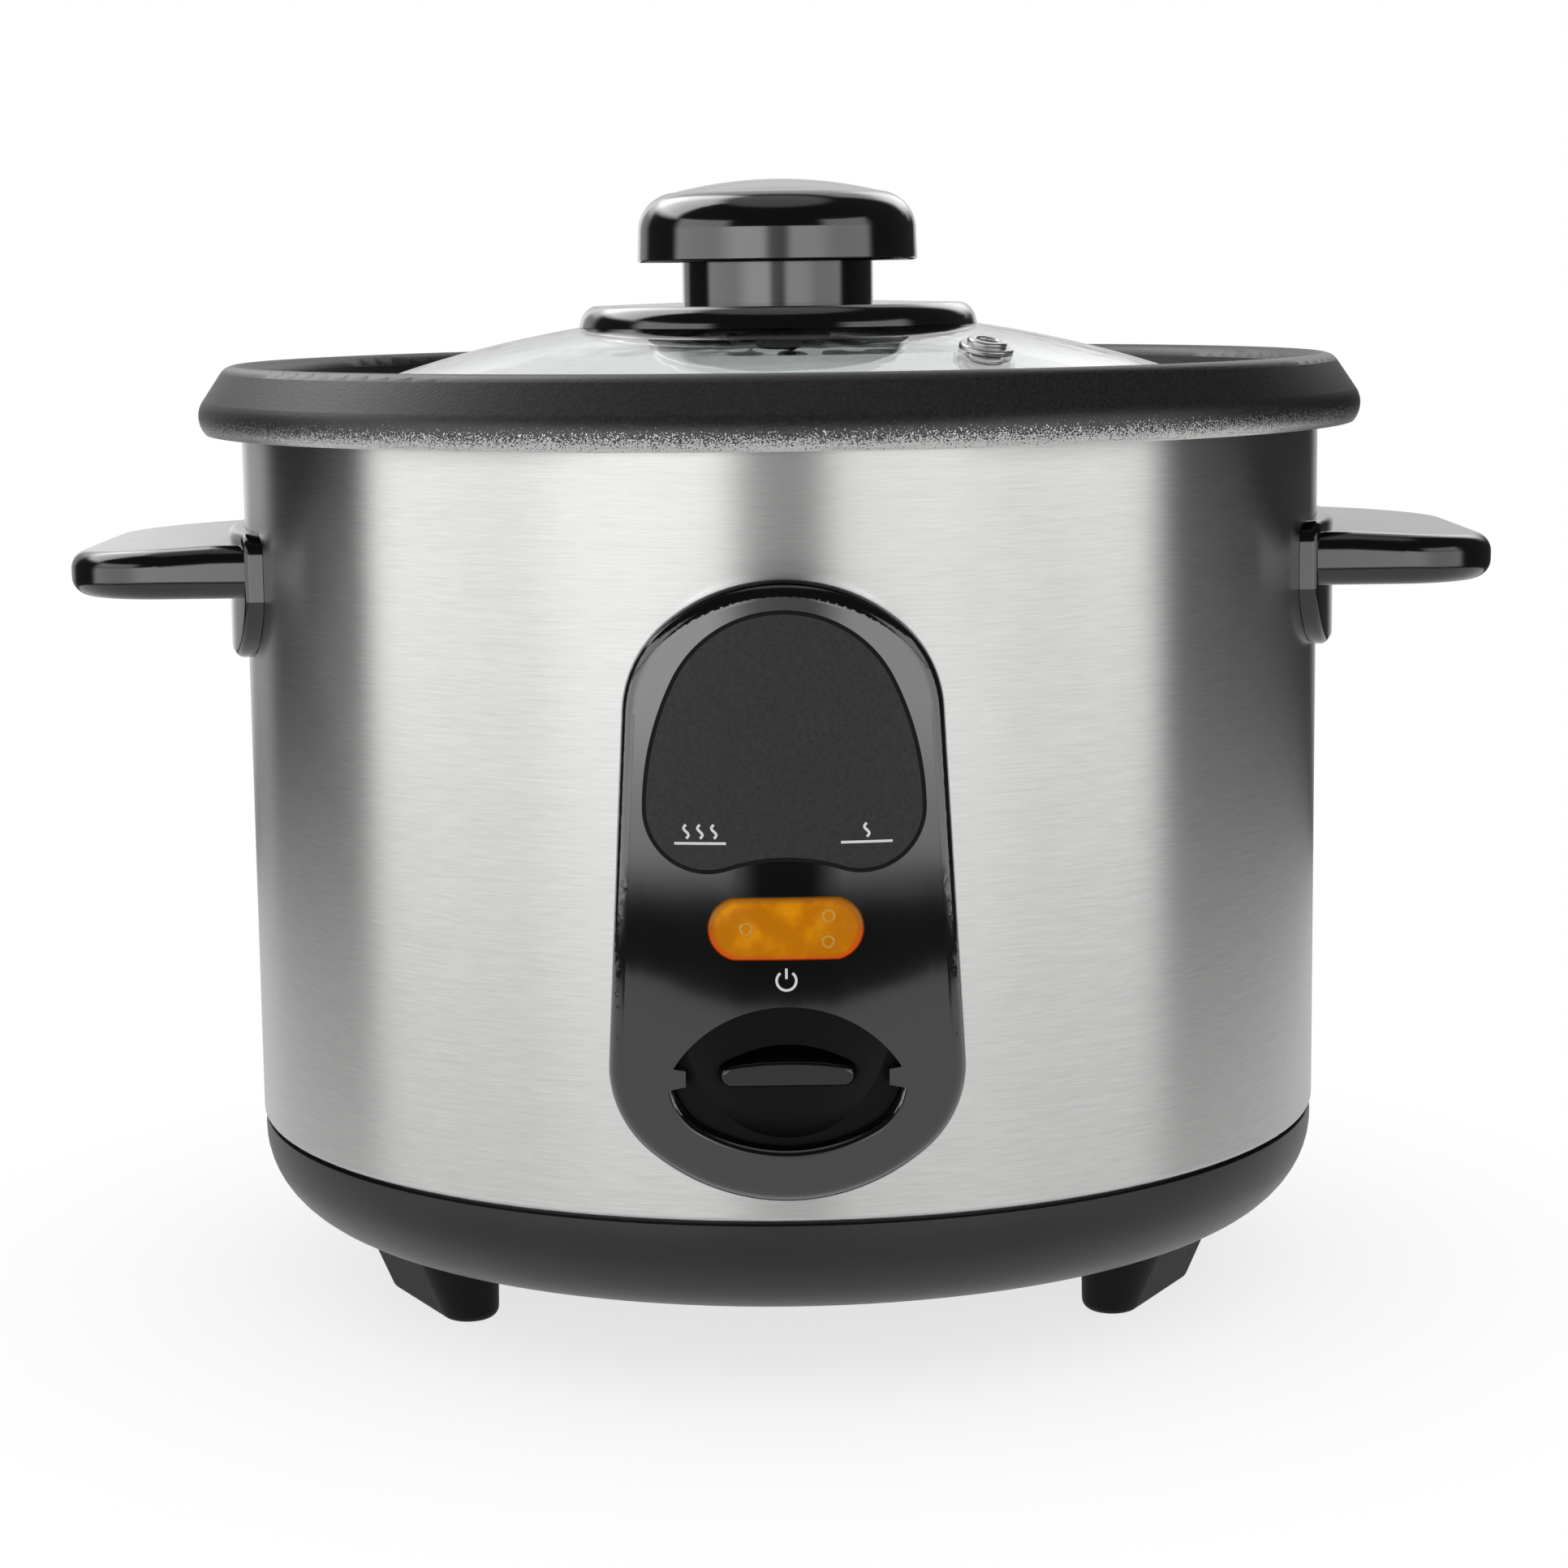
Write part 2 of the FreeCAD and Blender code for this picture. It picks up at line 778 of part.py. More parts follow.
def make_base():
    """Moulded base: a curved skirt, four peg holes for the feet, three screw bosses and a ring of slots."""
    floor = size.base_floor
    inside = size.base_floor + size.base_wall
    bulge = size.base_bulge
    body = turned_body("base", [
        (0, floor),
        (size.base_floor_radius, floor),
        (size.base_radius, size.base_shoulder, bulge, "left"),
        (size.neck_radius, size.base_shoulder),
        (size.neck_radius, size.shell_bottom),
        (size.neck_inner, size.shell_bottom),
        (size.neck_inner, size.base_shoulder - 2),
        (size.base_radius - size.base_wall, size.base_shoulder - 4.2),
        (size.base_floor_radius - 0.3, inside, bulge - size.base_wall, "right"),
        (0, inside),
    ])
    pegs = body_sketch(body, "peg_holes", "XY_Plane")
    across, along = peg_place()
    for side in (1, -1):
        for end in (1, -1):
            draw_circle(pegs, across * side, along * end, size.foot_peg + 0.1)
    pocketed(body, "peg_hole_cut", pegs, True)
    boss = body_sketch(body, "boss", "XY_Plane", inside - 0.5)
    draw_circle(boss, 0, size.boss_circle, size.boss_radius)
    bosses = padded(body, "boss_post", boss, size.liner_floor - inside + 0.5)
    ring_pattern(body, "boss_posts", bosses, 3)
    bore = body_sketch(body, "boss_bore", "XY_Plane")
    draw_circle(bore, 0, size.boss_circle, size.screw_radius + 0.3)
    bores = pocketed(body, "boss_hole", bore, True)
    ring_pattern(body, "boss_holes", bores, 3)
    sink = body_sketch(body, "boss_sink", "XY_Plane", floor)
    draw_circle(sink, 0, size.boss_circle, size.screw_head + 0.3)
    sinks = pocketed(body, "boss_recess", sink, True, size.screw_recess)
    ring_pattern(body, "boss_recesses", sinks, 3)
    slot = body_sketch(body, "floor_slot", "XY_Plane")
    half = size.slot_width / 2
    draw(slot, [
        (-half, size.slot_inner),
        (half, size.slot_inner, half + 0.03, "left"),
        (half, size.slot_outer),
        (-half, size.slot_outer, half + 0.03, "left"),
    ])
    slots = pocketed(body, "floor_slot_cut", slot, True)
    ring_pattern(body, "floor_slots", slots, 12)
    return node("base", body)


def foot_plan(name, middle, end, height):
    """Outline of a foot at one height: a slot with round ends that lies along the base's edge."""
    half = size.foot_half
    sketch = draw(free_sketch(name, Rotation()), [
        (middle + end, half),
        (middle - end, half, end + 0.02, "left"),
        (middle - end, -half),
        (middle + end, -half, end + 0.02, "left"),
    ])
    return place(sketch, z=height, turn=Rotation(UP, SIZES["foot_turn"]))


def make_feet():
    """Four feet that lean inward, each with a rounded sole and a peg pressed into the base."""
    top = size.base_floor - size.seat_gap
    foot = document.addObject("Part::Loft", "foot_block")
    foot.Sections = [
        foot_plan("foot_sole", size.foot_circle, size.foot_end, 0),
        foot_plan("foot_top", size.foot_circle + size.foot_flare, size.foot_end + size.foot_flare, top),
    ]
    foot.Solid = True
    foot.Ruled = True

    def is_sole_edge(edge):
        return all(point.z < 0.01 for point in edge_points(edge))

    smooth = rounded("foot_smooth", foot, size.foot_round, is_sole_edge)
    across, along = peg_place()
    peg = cylinder("foot_peg", size.foot_peg, size.base_wall + 1.5, across, along, top - 1)
    stub = fuse("foot", [smooth, peg])
    pair = group("feet_right", [stub, mirrored("foot_front", stub, REAR)])
    node("feet", group("feet", [pair, mirrored("feet_left", pair, RIGHT)]))


def make_screws():
    """Three long screws through base, liner and plate, the spacers above the liner, and their plate."""
    head_low = size.base_floor + 0.6
    shafts = []
    posts = []
    for index in range(3):
        angle = math.radians(90 + 120 * index)
        x = size.boss_circle * math.cos(angle)
        y = size.boss_circle * math.sin(angle)
        mark = str(index)
        head_top = size.base_floor + size.screw_recess
        head = cylinder("screw_head_" + mark, size.screw_head, head_top - head_low, x, y, head_low)
        reach = size.screw_reach - head_low
        shaft = cylinder("screw_shaft_" + mark, size.screw_radius, reach, x, y, head_low)
        shafts.append(fuse("screw_" + mark, [head, shaft]))
        low = size.liner_floor + size.liner_wall
        post = cylinder("post_outside_" + mark, size.post_radius, size.plate_bottom - low, x, y, low)
        bore = cylinder("post_bore_" + mark, size.screw_radius + 0.2, size.plate_bottom - low, x, y, low)
        posts.append(cut("post_" + mark, post, bore))
    node("base_screws", group("base_screws", shafts))
    node("plate_posts", group("plate_posts", posts))


def make_heating_plate():
    """Cast plate with a shallow cone for a top, a sensor hole, the element channel and blind screw holes."""
    edge_top = size.plate_apex - size.plate_fall
    body = turned_body("heating_plate", [
        (size.plate_hole, size.plate_bottom),
        (size.plate_radius - 1.5, size.plate_bottom),
        (size.plate_radius, size.plate_bottom + 1.5),
        (size.plate_radius, edge_top - size.plate_round),
        (size.plate_radius - size.plate_round, edge_top, size.plate_round, "left"),
        (size.flat_radius, size.plate_apex),
        (size.plate_hole, size.plate_apex),
    ])
    reach = size.element_tube + 0.3
    turned_cut(body, "element_channel", [
        (size.element_circle - reach, size.plate_bottom - 1),
        (size.element_circle + reach, size.plate_bottom - 1),
        (size.element_circle + reach, size.element_height),
        (size.element_circle - reach, size.element_height, reach + 0.01, "left"),
    ])
    hole = body_sketch(body, "plate_screw_hole", "XY_Plane", size.plate_bottom)
    draw_circle(hole, 0, size.boss_circle, size.screw_radius + 0.1)
    holes = pocketed(body, "plate_screw_cut", hole, True, size.screw_reach - size.plate_bottom + 0.5)
    ring_pattern(body, "plate_screw_cuts", holes, 3)
    node("heating_plate", body)


def make_heating_element():
    """Sheathed element: most of a ring in the channel, its two ends turned down to ceramic terminals."""
    ring = document.addObject("Part::Torus", "element_ring")
    bind(ring, "Radius1", size.element_circle)
    bind(ring, "Radius2", size.element_tube)
    ring.Angle3 = 300
    place(ring, z=size.element_height, turn=Rotation(UP, 120))
    legs = []
    beads = []
    for side in (1, -1):
        x = size.element_circle * (0.5 * side)
        y = size.element_circle * 0.866025
        low = size.liner_floor - 4
        drop = size.element_height - low
        leg = cylinder("element_leg_" + str(side), size.element_tube - 0.5, drop, x, y, low)
        ball = document.addObject("Part::Sphere", "element_bend_" + str(side))
        bind(ball, "Radius", size.element_tube + 0.05)
        legs += [leg, place(ball, x, y, size.element_height)]
        bead = cylinder("bead_" + str(side), size.bead_radius, Size.of(6), x, y, low + 1)
        bore = cylinder("bead_bore_" + str(side), size.element_tube - 0.4, Size.of(6), x, y, low + 1)
        blade = box("tab_" + str(side), (x - 3.1, y - 0.4, low - 9), (x + 3.1, y + 0.4, low - 0.05))
        beads += [cut("bead_ring_" + str(side), bead, bore), blade]
    node("heating_element", fuse("heating_element", [ring] + legs))
    node("element_terminals", group("element_terminals", beads))


def make_sensor():
    """Sensor under the pot: fixed cup, sprung cap with its ferrite, and the magnet on its pull rod."""
    floor = size.cup_floor
    wall = size.cup_wall
    seat = size.liner_floor - size.seat_gap
    node("thermostat_cup", turned_body("thermostat_cup", [
        (size.rod_radius + 0.8, floor),
        (size.cup_radius - 1.5, floor),
        (size.cup_radius, floor + 1.5, Size.of(1.5), "left"),
        (size.cup_radius, seat - wall),
        (size.cup_flange, seat - wall),
        (size.cup_flange, seat),
        (size.cup_radius - wall, seat),
        (size.cup_radius - wall, floor + wall),
        (size.rod_radius + 0.8, floor + wall),
    ]))
    top = size.cap_top
    under = size.cap_top - size.cap_wall
    low = size.cap_low
    node("sensor_cap", turned_body("sensor_cap", [
        (0, under),
        (size.cap_skirt - 0.8, under),
        (size.cap_skirt - 0.8, low),
        (size.cap_lip, low),
        (size.cap_lip, low + 1),
        (size.cap_skirt, low + 1),
        (size.cap_skirt, under),
        (size.cap_radius, under),
        (size.cap_radius, top - 0.6),
        (size.cap_radius - 0.6, top, Size.of(0.6), "left"),
        (0, top),
    ]))
    node("ferrite", turned_body("ferrite", [
        (0, size.ferrite_low),
        (size.ferrite_radius - 0.8, size.ferrite_low),
        (size.ferrite_radius, size.ferrite_low + 0.8),
        (size.ferrite_radius, under),
        (0, under),
    ]))
    thickness = size.magnet_high - size.magnet_low
    node("magnet", cylinder("magnet", size.magnet_radius, thickness, z=size.magnet_low))
    holder = size.magnet_radius + 0.1
    collar = size.rod_collar_low
    node("magnet_rod", turned_body("magnet_rod", [
        (0, size.rod_foot),
        (size.rod_collar, size.rod_foot),
        (size.rod_collar, size.rod_foot + 1.5),
        (size.rod_radius, size.rod_foot + 1.5),
        (size.rod_radius, collar),
        (size.rod_collar, collar),
        (size.rod_collar, collar + 1.2),
        (size.rod_radius, collar + 1.2),
        (size.rod_radius, size.magnet_low - 1.2),
        (holder + 1, size.magnet_low - 1.2),
        (holder + 1, size.magnet_high - 0.8),
        (holder, size.magnet_high - 0.8),
        (holder, size.magnet_low),
        (0, size.magnet_low),
    ]))
    helix = document.addObject("Part::Helix", "coil_path")
    bind(helix, "Radius", size.coil_radius)
    bind(helix, "Pitch", size.coil_pitch)
    bind(helix, "Height", under - floor - wall - size.coil_wire * 2 - 0.4)
    place(helix, z=floor + wall + size.coil_wire + 0.2)
    wire = document.addObject("Part::RegularPolygon", "coil_wire")
    wire.Polygon = WIRE_SIDES
    bind(wire, "Circumradius", size.coil_wire)
    place(wire, size.coil_radius, 0, floor + wall + size.coil_wire + 0.2, IN_FRONT_PLANE)
    coil = document.addObject("Part::Sweep", "sensor_spring")
    coil.Sections = [wire]
    coil.Spine = (helix, ["Edge1"])
    coil.Solid = True
    coil.Frenet = True
    node("sensor_spring", coil)


def make_lever():
    """Rocking lever with a fork round the rod, its bracket and pin, and the pusher for the contact leaf."""
    pivot = -size.pivot_back
    height = size.pivot_height
    low = size.lever_low
    high = size.lever_low + size.lever_wall
    half = size.lever_half
    blade = new_body("lever_blade")
    plan = body_sketch(blade, "lever_plan", "XY_Plane", low)
    tab = size.contact_back
    draw(plan, [
        (-size.lever_nose, -size.lever_front),
        (size.lever_nose, -size.lever_front),
        (half, -size.lever_front + 14),
        (half, -tab - size.contact_half),
        (half + 9, -tab - size.contact_half),
        (half + 9, -tab + size.contact_half),
        (half, -tab + size.contact_half),
        (half, size.lever_rear),
        (size.fork_half, size.lever_rear),
        (size.fork_half, Size.of(-5)),
        (-size.fork_half, Size.of(-5)),
        (-size.fork_half, size.lever_rear),
        (-half, size.lever_rear),
        (-half, -size.lever_front + 14),
    ])
    padded(blade, "lever_plate", plan, size.lever_wall)
    ears = []
    for side in (1, -1):
        near = half if side == 1 else -half - size.lever_wall
        far = near + size.lever_wall
        ears.append(box("ear_" + str(side), (near, pivot - 5, height - 3.5), (far, pivot + 5, high)))
    solid = fuse("lever_solid", [blade] + ears)
    bore = cylinder("lever_bore", size.pin_radius + 0.3, size.bracket_half * 2, -size.bracket_half, pivot,
                    height, TO_RIGHT)
    node("switch_lever", cut("switch_lever", solid, bore))
    node("contact_pusher", box("contact_pusher", (half + 5.5, -tab - 1, high),
                               (half + 7.5, -tab + 1, size.leaf_low - 0.4)))
    reach = size.bracket_half
    floor = size.base_floor + size.base_wall
    foot = box("bracket_foot", (-reach, pivot - 7, floor), (reach, pivot + 7, floor + 1.6))
    cheeks = []
    for side in (1, -1):
        near = reach - 1.6 if side == 1 else -reach
        far = near + 1.6
        cheeks.append(box("cheek_" + str(side), (near, pivot - 7, floor), (far, pivot + 7, size.bracket_top)))
    frame = fuse("bracket_frame", [foot] + cheeks)
    hole = cylinder("bracket_bore", size.pin_radius + 0.05, reach * 2 + 2, -reach - 1, pivot, height,
                    TO_RIGHT)
    node("lever_bracket", cut("lever_bracket", frame, hole))
    pin = cylinder("pin_shaft", size.pin_radius, reach * 2 + 2, -reach - 1, pivot, height, TO_RIGHT)
    heads = [
        cylinder("pin_head_right", size.pin_radius + 1, Size.of(1), reach, pivot, height, TO_RIGHT),
        cylinder("pin_head_left", size.pin_radius + 1, Size.of(1), -reach - 1, pivot, height, TO_RIGHT),
    ]
    node("lever_pin", fuse("lever_pin", [pin] + heads))


def make_contacts():
    """Contact leaf that the lever lifts, the fixed contact above it, their block and the thermal fuse."""
    back = -size.contact_back
    half = size.contact_half
    low = size.leaf_low
    high = size.leaf_low + size.leaf_wall
    root = size.contact_root
    rivet = size.rivet_radius
    middle = size.leaf_low + size.leaf_wall / 2
    leaf = box("leaf", (size.lever_half + 4, back - half, low), (root - 0.4, back + half, high))
    stud = cylinder("leaf_rivet", rivet, Size.of(1.2), size.rivet_across, back, high)
    roll = cylinder("leaf_roll", size.roll_radius, half * 2, root, back - half, middle, TO_REAR)
    node("moving_contact", fuse("moving_contact", [leaf, stud, roll]))
    top = size.block_top
    stand = box("block_stand", (root, back - 6, size.base_floor + size.base_wall), (root + 8, back + 6, top))
    groove = cylinder("block_groove", size.roll_radius + 0.3, Size.of(12), root, back - 6, middle, TO_REAR)
    node("contact_block", cut("contact_block", stand, groove))
    strip = box("strip", (size.rivet_across - 3, back - half, top), (root + 8, back + half, top + 0.6))
    anvil_low = high + 1.2 + 2.7
    anvil = cylinder("strip_rivet", rivet, top - anvil_low, size.rivet_across, back, anvil_low)
    node("fixed_contact", fuse("fixed_contact", [strip, anvil]))
    fuse_body = cylinder("fuse_can", Size.of(2), Size.of(FUSE_LENGTH), *FUSE_PLACE, TO_REAR)
    node("thermal_fuse", rounded("thermal_fuse", fuse_body, Size.of(0.8), lambda edge: edge.Closed))


def make_inner_pot():
    """Pot pressed from one sheet: raised floor, ledge for the lid and a rim folded over the shell."""
    line = free_sketch("pot_line", IN_FRONT_PLANE)
    draw(line, [
        (0, size.pot_apex),
        (size.flat_radius, size.pot_apex),
        (size.pot_floor_radius, size.pot_floor_edge),
        (size.pot_radius, size.pot_corner_top, size.pot_corner, "left"),
        (size.pot_radius, size.ledge_height - size.ledge_round),
        (size.pot_radius + size.ledge_round * 0.293, size.ledge_height - size.ledge_round * 0.293),
        (size.pot_radius + size.ledge_round, size.ledge_height),
        (size.ledge_outer, size.ledge_height),
        (size.rim_foot_radius, size.rim_foot_height),
        (size.rim_inner_radius, size.rim_inner_height),
        (size.rim_outer_radius, size.rim_outer_height, size.crest_round, "right"),
        (size.rim_slope_radius, size.rim_slope_height),
        (size.rim_lip_radius, size.rim_lip_height, size.rim_round, "right"),
    ], closed=False)
    sheet = document.addObject("Part::Offset2D", "pot_sheet")
    sheet.Source = line
    sheet.Mode = "Skin"
    sheet.Join = "Intersection"
    sheet.Fill = True
    bind(sheet, "Value", -size.pot_wall)
    pot = document.addObject("Part::Revolution", "pot_turned")
    pot.Source = sheet
    pot.Axis = UP
    pot.Base = Vector(0, 0, 0)
    pot.Angle = 360
    pot.Solid = True
    node("inner_pot", pot)


def dome_height(radius, dome):
    """Height of the lid's domed faces at a radius, for a dome of the given radius about the lid's centre."""
    centre = SIZES["lid_apex"] - SIZES["lid_dome"]
    return centre + math.sqrt(dome * dome - radius * radius)


def vent_frame():
    """Where the vent stands on the glass and how its axis leans."""
    across = SIZES["vent_across"]
    front = -SIZES["vent_front"]
    centre = SIZES["lid_apex"] - SIZES["lid_dome"]
    point = Vector(across, front, dome_height(math.hypot(across, front), SIZES["lid_dome"]))
    lean = Rotation(UP, point - Vector(0, 0, centre))
    return point, lean


def make_lid():
    """Domed glass lid with its vent, seal and knob."""
    outer = size.lid_dome
    inner = size.lid_dome - size.lid_wall
    hole = size.lid_hole
    rim = size.lid_radius
    edge = size.lid_edge
    seat = size.lid_seat
    seat_rise = seat.number - dome_height(0, outer.number) + outer.number
    flat_radius = math.sqrt(inner.number ** 2 - seat_rise ** 2)
    hole_top = size.lid_apex - hole * hole / (outer * 2)
    hole_low = size.lid_apex - size.lid_wall - hole * hole / (inner * 2)
    shoulder = Size.of(dome_height(rim.number - edge.number, outer.number))
    flat = Size.of(flat_radius)
    glass = turned_body("lid_blank", [
        (hole, hole_low),
        (flat, seat, inner, "right"),
        (rim - 0.6, seat),
        (rim, seat + 0.6, Size.of(0.61), "left"),
        (rim, shoulder - edge + 0.3),
        (rim - edge, shoulder, edge + 0.2, "left"),
        (hole, hole_top, outer, "left"),
    ])
    point, lean = vent_frame()
    bore = cylinder("vent_hole", hole, Size.of(20))
    foot = point - lean.multVec(UP) * 10
    place(bore, foot.x, foot.y, foot.z, lean)
    node("lid_glass", cut("lid_glass", glass, bore))
    wall = size.lid_wall
    grommet = turned_body("steam_vent", [
        (size.vent_bore, -wall - 2),
        (size.vent_flange - 0.6, -wall - 2),
        (size.vent_flange - 0.6, -wall - 1.3),
        (size.vent_sleeve, -wall - 1.3),
        (size.vent_sleeve, Size.of(0.05)),
        (size.vent_flange, Size.of(0.05)),
        (size.vent_flange, Size.of(0.6)),
        (size.vent_flange - 0.5, Size.of(1.1), Size.of(0.52), "left"),
        (size.vent_step, Size.of(1.1)),
        (size.vent_step, Size.of(1.6)),
        (size.vent_step - 0.5, Size.of(2.1), Size.of(0.52), "left"),
        (size.vent_bore + 0.5, Size.of(2.1)),
        (size.vent_bore, Size.of(1.6), Size.of(0.52), "left"),
    ])
    grommet.Placement = Placement(point, lean)
    node("steam_vent", grommet)
    seal = turned_body("vent_seal", [
        (size.vent_sleeve + 0.05, -wall - 1.25),
        (size.vent_flange + 0.6, -wall - 1.25),
        (size.vent_flange + 0.6, -wall - 0.15),
        (size.vent_sleeve + 0.05, -wall - 0.15),
    ])
    seal.Placement = Placement(point, lean)
    node("vent_seal", seal)


def make_knob():
    """Knob with a domed cap on a thick stem, its collar, and the screw and washer below the glass."""
    bore = size.knob_screw_radius + 0.05
    shoulder = size.knob_shoulder
    top = size.knob_top
    cap = size.knob_radius
    low = size.knob_low
    stem = size.stem_radius
    inner = cap - shoulder - 0.2
    sag = size.knob_dome - (size.knob_dome * size.knob_dome - inner * inner).root()
    node("lid_knob", turned_body("lid_knob", [
        (0, size.stem_low + 15),
        (bore, size.stem_low + 15),
        (bore, size.stem_low),
        (stem, size.stem_low),
        (stem, low + 2),
        (stem + 1.5, low + 3, Size.of(1.4), "right"),
        (cap - 2.5, low + 2.2),
        (cap - 1.2, low),
        (cap - 0.5, low),
        (cap, low + 0.6, Size.of(0.7), "left"),
        (cap - 0.2, top - sag - shoulder),
        (inner, top - sag, shoulder + 0.6, "left"),
        (0, top, size.knob_dome, "left"),
    ]))
    dome = size.lid_dome + 0.05
    hole = size.lid_hole
    foot = Size.of(dome_height(SIZES["collar_radius"], dome.number))
    node("knob_collar", turned_body("knob_collar", [
        (hole, size.lid_apex + 0.05 - hole * hole / (dome * 2)),
        (size.collar_radius, foot, dome, "right"),
        (size.collar_radius - 0.2, foot + 0.9),
        (size.collar_shoulder, size.stem_low - 0.4, Size.of(4.2), "left"),
        (stem + 3, size.stem_low),
        (hole, size.stem_low),
    ]))
    under = size.lid_apex - size.lid_wall - 0.1
    washer = size.stem_radius * 0.55
    node("knob_washer", turned_body("knob_washer", [
        (bore, under - 1.4),
        (washer - 0.4, under - 1.4),
        (washer, under - 1),
        (washer, under - 0.25),
        (bore, under),
    ]))
    node("knob_screw", turned_body("knob_screw", [
        (0, under - 3.6),
        (size.knob_screw_radius + 0.6, under - 3.6),
        (size.knob_screw_radius + 2.2, under - 2.2, Size.of(2.4), "left"),
        (size.knob_screw_radius + 2.2, under - 1.4),
        (size.knob_screw_radius, under - 1.4),
        (size.knob_screw_radius, size.stem_low + 14),
        (0, size.stem_low + 14),
    ]))


def panel_outline():
    """Outline of the front panel, wider below than above."""
    return draw_even_outline(
        free_sketch("panel_outline", IN_FRONT_PLANE),
        (size.panel_top_arc, size.panel_top, "right"),
        [
            (size.panel_top_corner, "right", []),
            (None, None, [(size.panel_high_half, size.panel_high), (size.panel_wide_half, size.panel_wide)]),
            (size.panel_low_corner, "right", []),
        ],
        (size.panel_low_arc, size.panel_low, "right"),
        [(19.4, 131.5), (26.2, 117.6), (28.9, 59.5), (21.8, 44.2)],
    )


def insert_outline():
    """Outline of the matt insert: a round head and a wavy lower edge."""
    return draw_even_outline(
        free_sketch("insert_outline", IN_FRONT_PLANE),
        (size.insert_top_arc, size.insert_top, "right"),
        [
            (size.insert_side_arc, "right", [(size.insert_wide_half, size.insert_wide)]),
            (size.insert_corner, "right", []),
        ],
        (size.insert_wave, size.insert_low, "left"),
        [(18.7, 119.5), (22.0, 102.8), (9.07, 92.47)],
    )


def lens_outline():
    """Outline of the lens, straight above and below with round ends."""
    reach = size.lens_half - (size.lens_high - size.lens_low) / 2 + 1.2
    return draw(free_sketch("lens_outline", IN_FRONT_PLANE), [
        (-reach, size.lens_low, size.lens_end, "left"),
        (reach, size.lens_low),
        (reach, size.lens_high, size.lens_end, "left"),
        (-reach, size.lens_high),
    ])


def eye_outline():
    """Outline of the opening for the key: two bowed edges with a tab between them at each side."""
    return draw(free_sketch("eye_outline", IN_FRONT_PLANE), [
        (-size.eye_corner_half, size.eye_corner_height, size.eye_corner, "left"),
        (size.eye_corner_half, size.eye_corner_height, size.eye_low_arc, "left"),
        (size.eye_mid_half, size.eye_mid, size.eye_corner, "left"),
        (size.eye_tab_half, size.eye_mid + 0.7),
        (size.eye_tab_half, size.eye_high - 0.3),
        (size.eye_high_half, size.eye_high),
        (-size.eye_high_half, size.eye_high, size.eye_arc, "left"),
        (-size.eye_tab_half, size.eye_high - 0.3),
        (-size.eye_tab_half, size.eye_mid + 0.7),
        (-size.eye_mid_half, size.eye_mid),
    ])


def make_panel():
    """Front panel: a hollow curved moulding with its insert, lens, guide rails and screw bosses."""
    outline = panel_outline()
    insert = insert_outline()
    lens = lens_outline()
    far = size.panel_face + 10
    seat = size.body_radius + size.seat_gap
    face = size.panel_face
    inside = size.panel_face - size.panel_wall
    low = size.panel_low - 5
    high = size.panel_top + 5
    column = extruded("panel_column", outline, FRONT, far)
    block = common("panel_block", [column, sleeve("panel_depth", seat, face, low, high)])
    smooth = rounded("panel_smooth", block, size.panel_edge, on_radius(face))
    inner_outline = grown("panel_inner_outline", outline, -size.panel_wall)
    inner_column = extruded("panel_hollow_column", inner_outline, FRONT, far)
    hollow = common("panel_hollow", [inner_column, cylinder("panel_hollow_depth", inside, high - low, z=low)])
    recess_column = extruded("recess_column", grown("recess_outline", insert, size.insert_seam), FRONT, far)
    recess_drum = cylinder("recess_depth", face - size.insert_depth, high - low, z=low)
    recess = cut("panel_recess", recess_column, recess_drum)
    eye = extruded("eye_column", eye_outline(), FRONT, far)
    lens_hole = extruded("lens_hole", grown("lens_hole_outline", lens, Size.of(0.2)), FRONT, far)
    opened = smooth
    for index, tool in enumerate((hollow, recess, eye, lens_hole)):
        opened = cut("panel_opened_" + str(index), opened, tool)
    extras = []
    screws = []
    for side in (1, -1):
        name = "left" if side < 0 else "right"
        near = size.key_half + 0.5 if side > 0 else -size.key_half - 2
        extras.append(box("rail_" + name, (near, -inside + 1.2, size.rail_low),
                          (near + 1.5, -seat - 0.8, size.rail_high)))
        x = size.panel_boss_across * side
        z = size.panel_boss_height
        post = cylinder("panel_post_" + name, Size.of(3.4), Size.of(9), x, -inside + 8.5, z, TO_FRONT)
        depth = sleeve("boss_depth_" + name, seat, inside + 0.4, low, high)
        post = common("panel_boss_" + name, [post, depth])
        bore = cylinder("panel_bore_" + name, Size.of(1.25), Size.of(7), x, -inside + 8.2, z, TO_FRONT)
        extras.append(cut("panel_bored_" + name, post, bore))
        shaft = cylinder("panel_shaft_" + name, Size.of(1.2), Size.of(6), x, -inside + 7.3, z, TO_FRONT)
        head = cylinder("panel_head_" + name, Size.of(2.6), Size.of(1.4), x, -inside + 8.5, z, TO_FRONT)
        screws.append(fuse("panel_screw_" + name, [shaft, head]))
    node("control_panel", fuse("control_panel", [opened] + extras))
    node("panel_screws", group("panel_screws", screws))
    insert_column = extruded("insert_column", insert, FRONT, far)
    node("panel_insert", common("panel_insert", [
        insert_column, sleeve("insert_depth", face - size.insert_depth + size.seat_gap, face, low, high)]))
    front = face + size.lens_proud
    core_column = extruded("lens_column", lens, FRONT, far)
    core = common("lens_core", [core_column, sleeve("lens_depth", inside - 0.6, front, low, high)])
    core = rounded("lens_smooth", core, Size.of(0.5), on_radius(front))
    rim_column = extruded("lens_rim_column", grown("lens_rim_outline", lens, size.lens_flange), FRONT, far)
    rim = common("lens_rim", [rim_column, sleeve("lens_rim_depth", inside - 1.2, inside - 0.1, low, high)])
    node("indicator_lens", fuse("indicator_lens", [core, rim]))


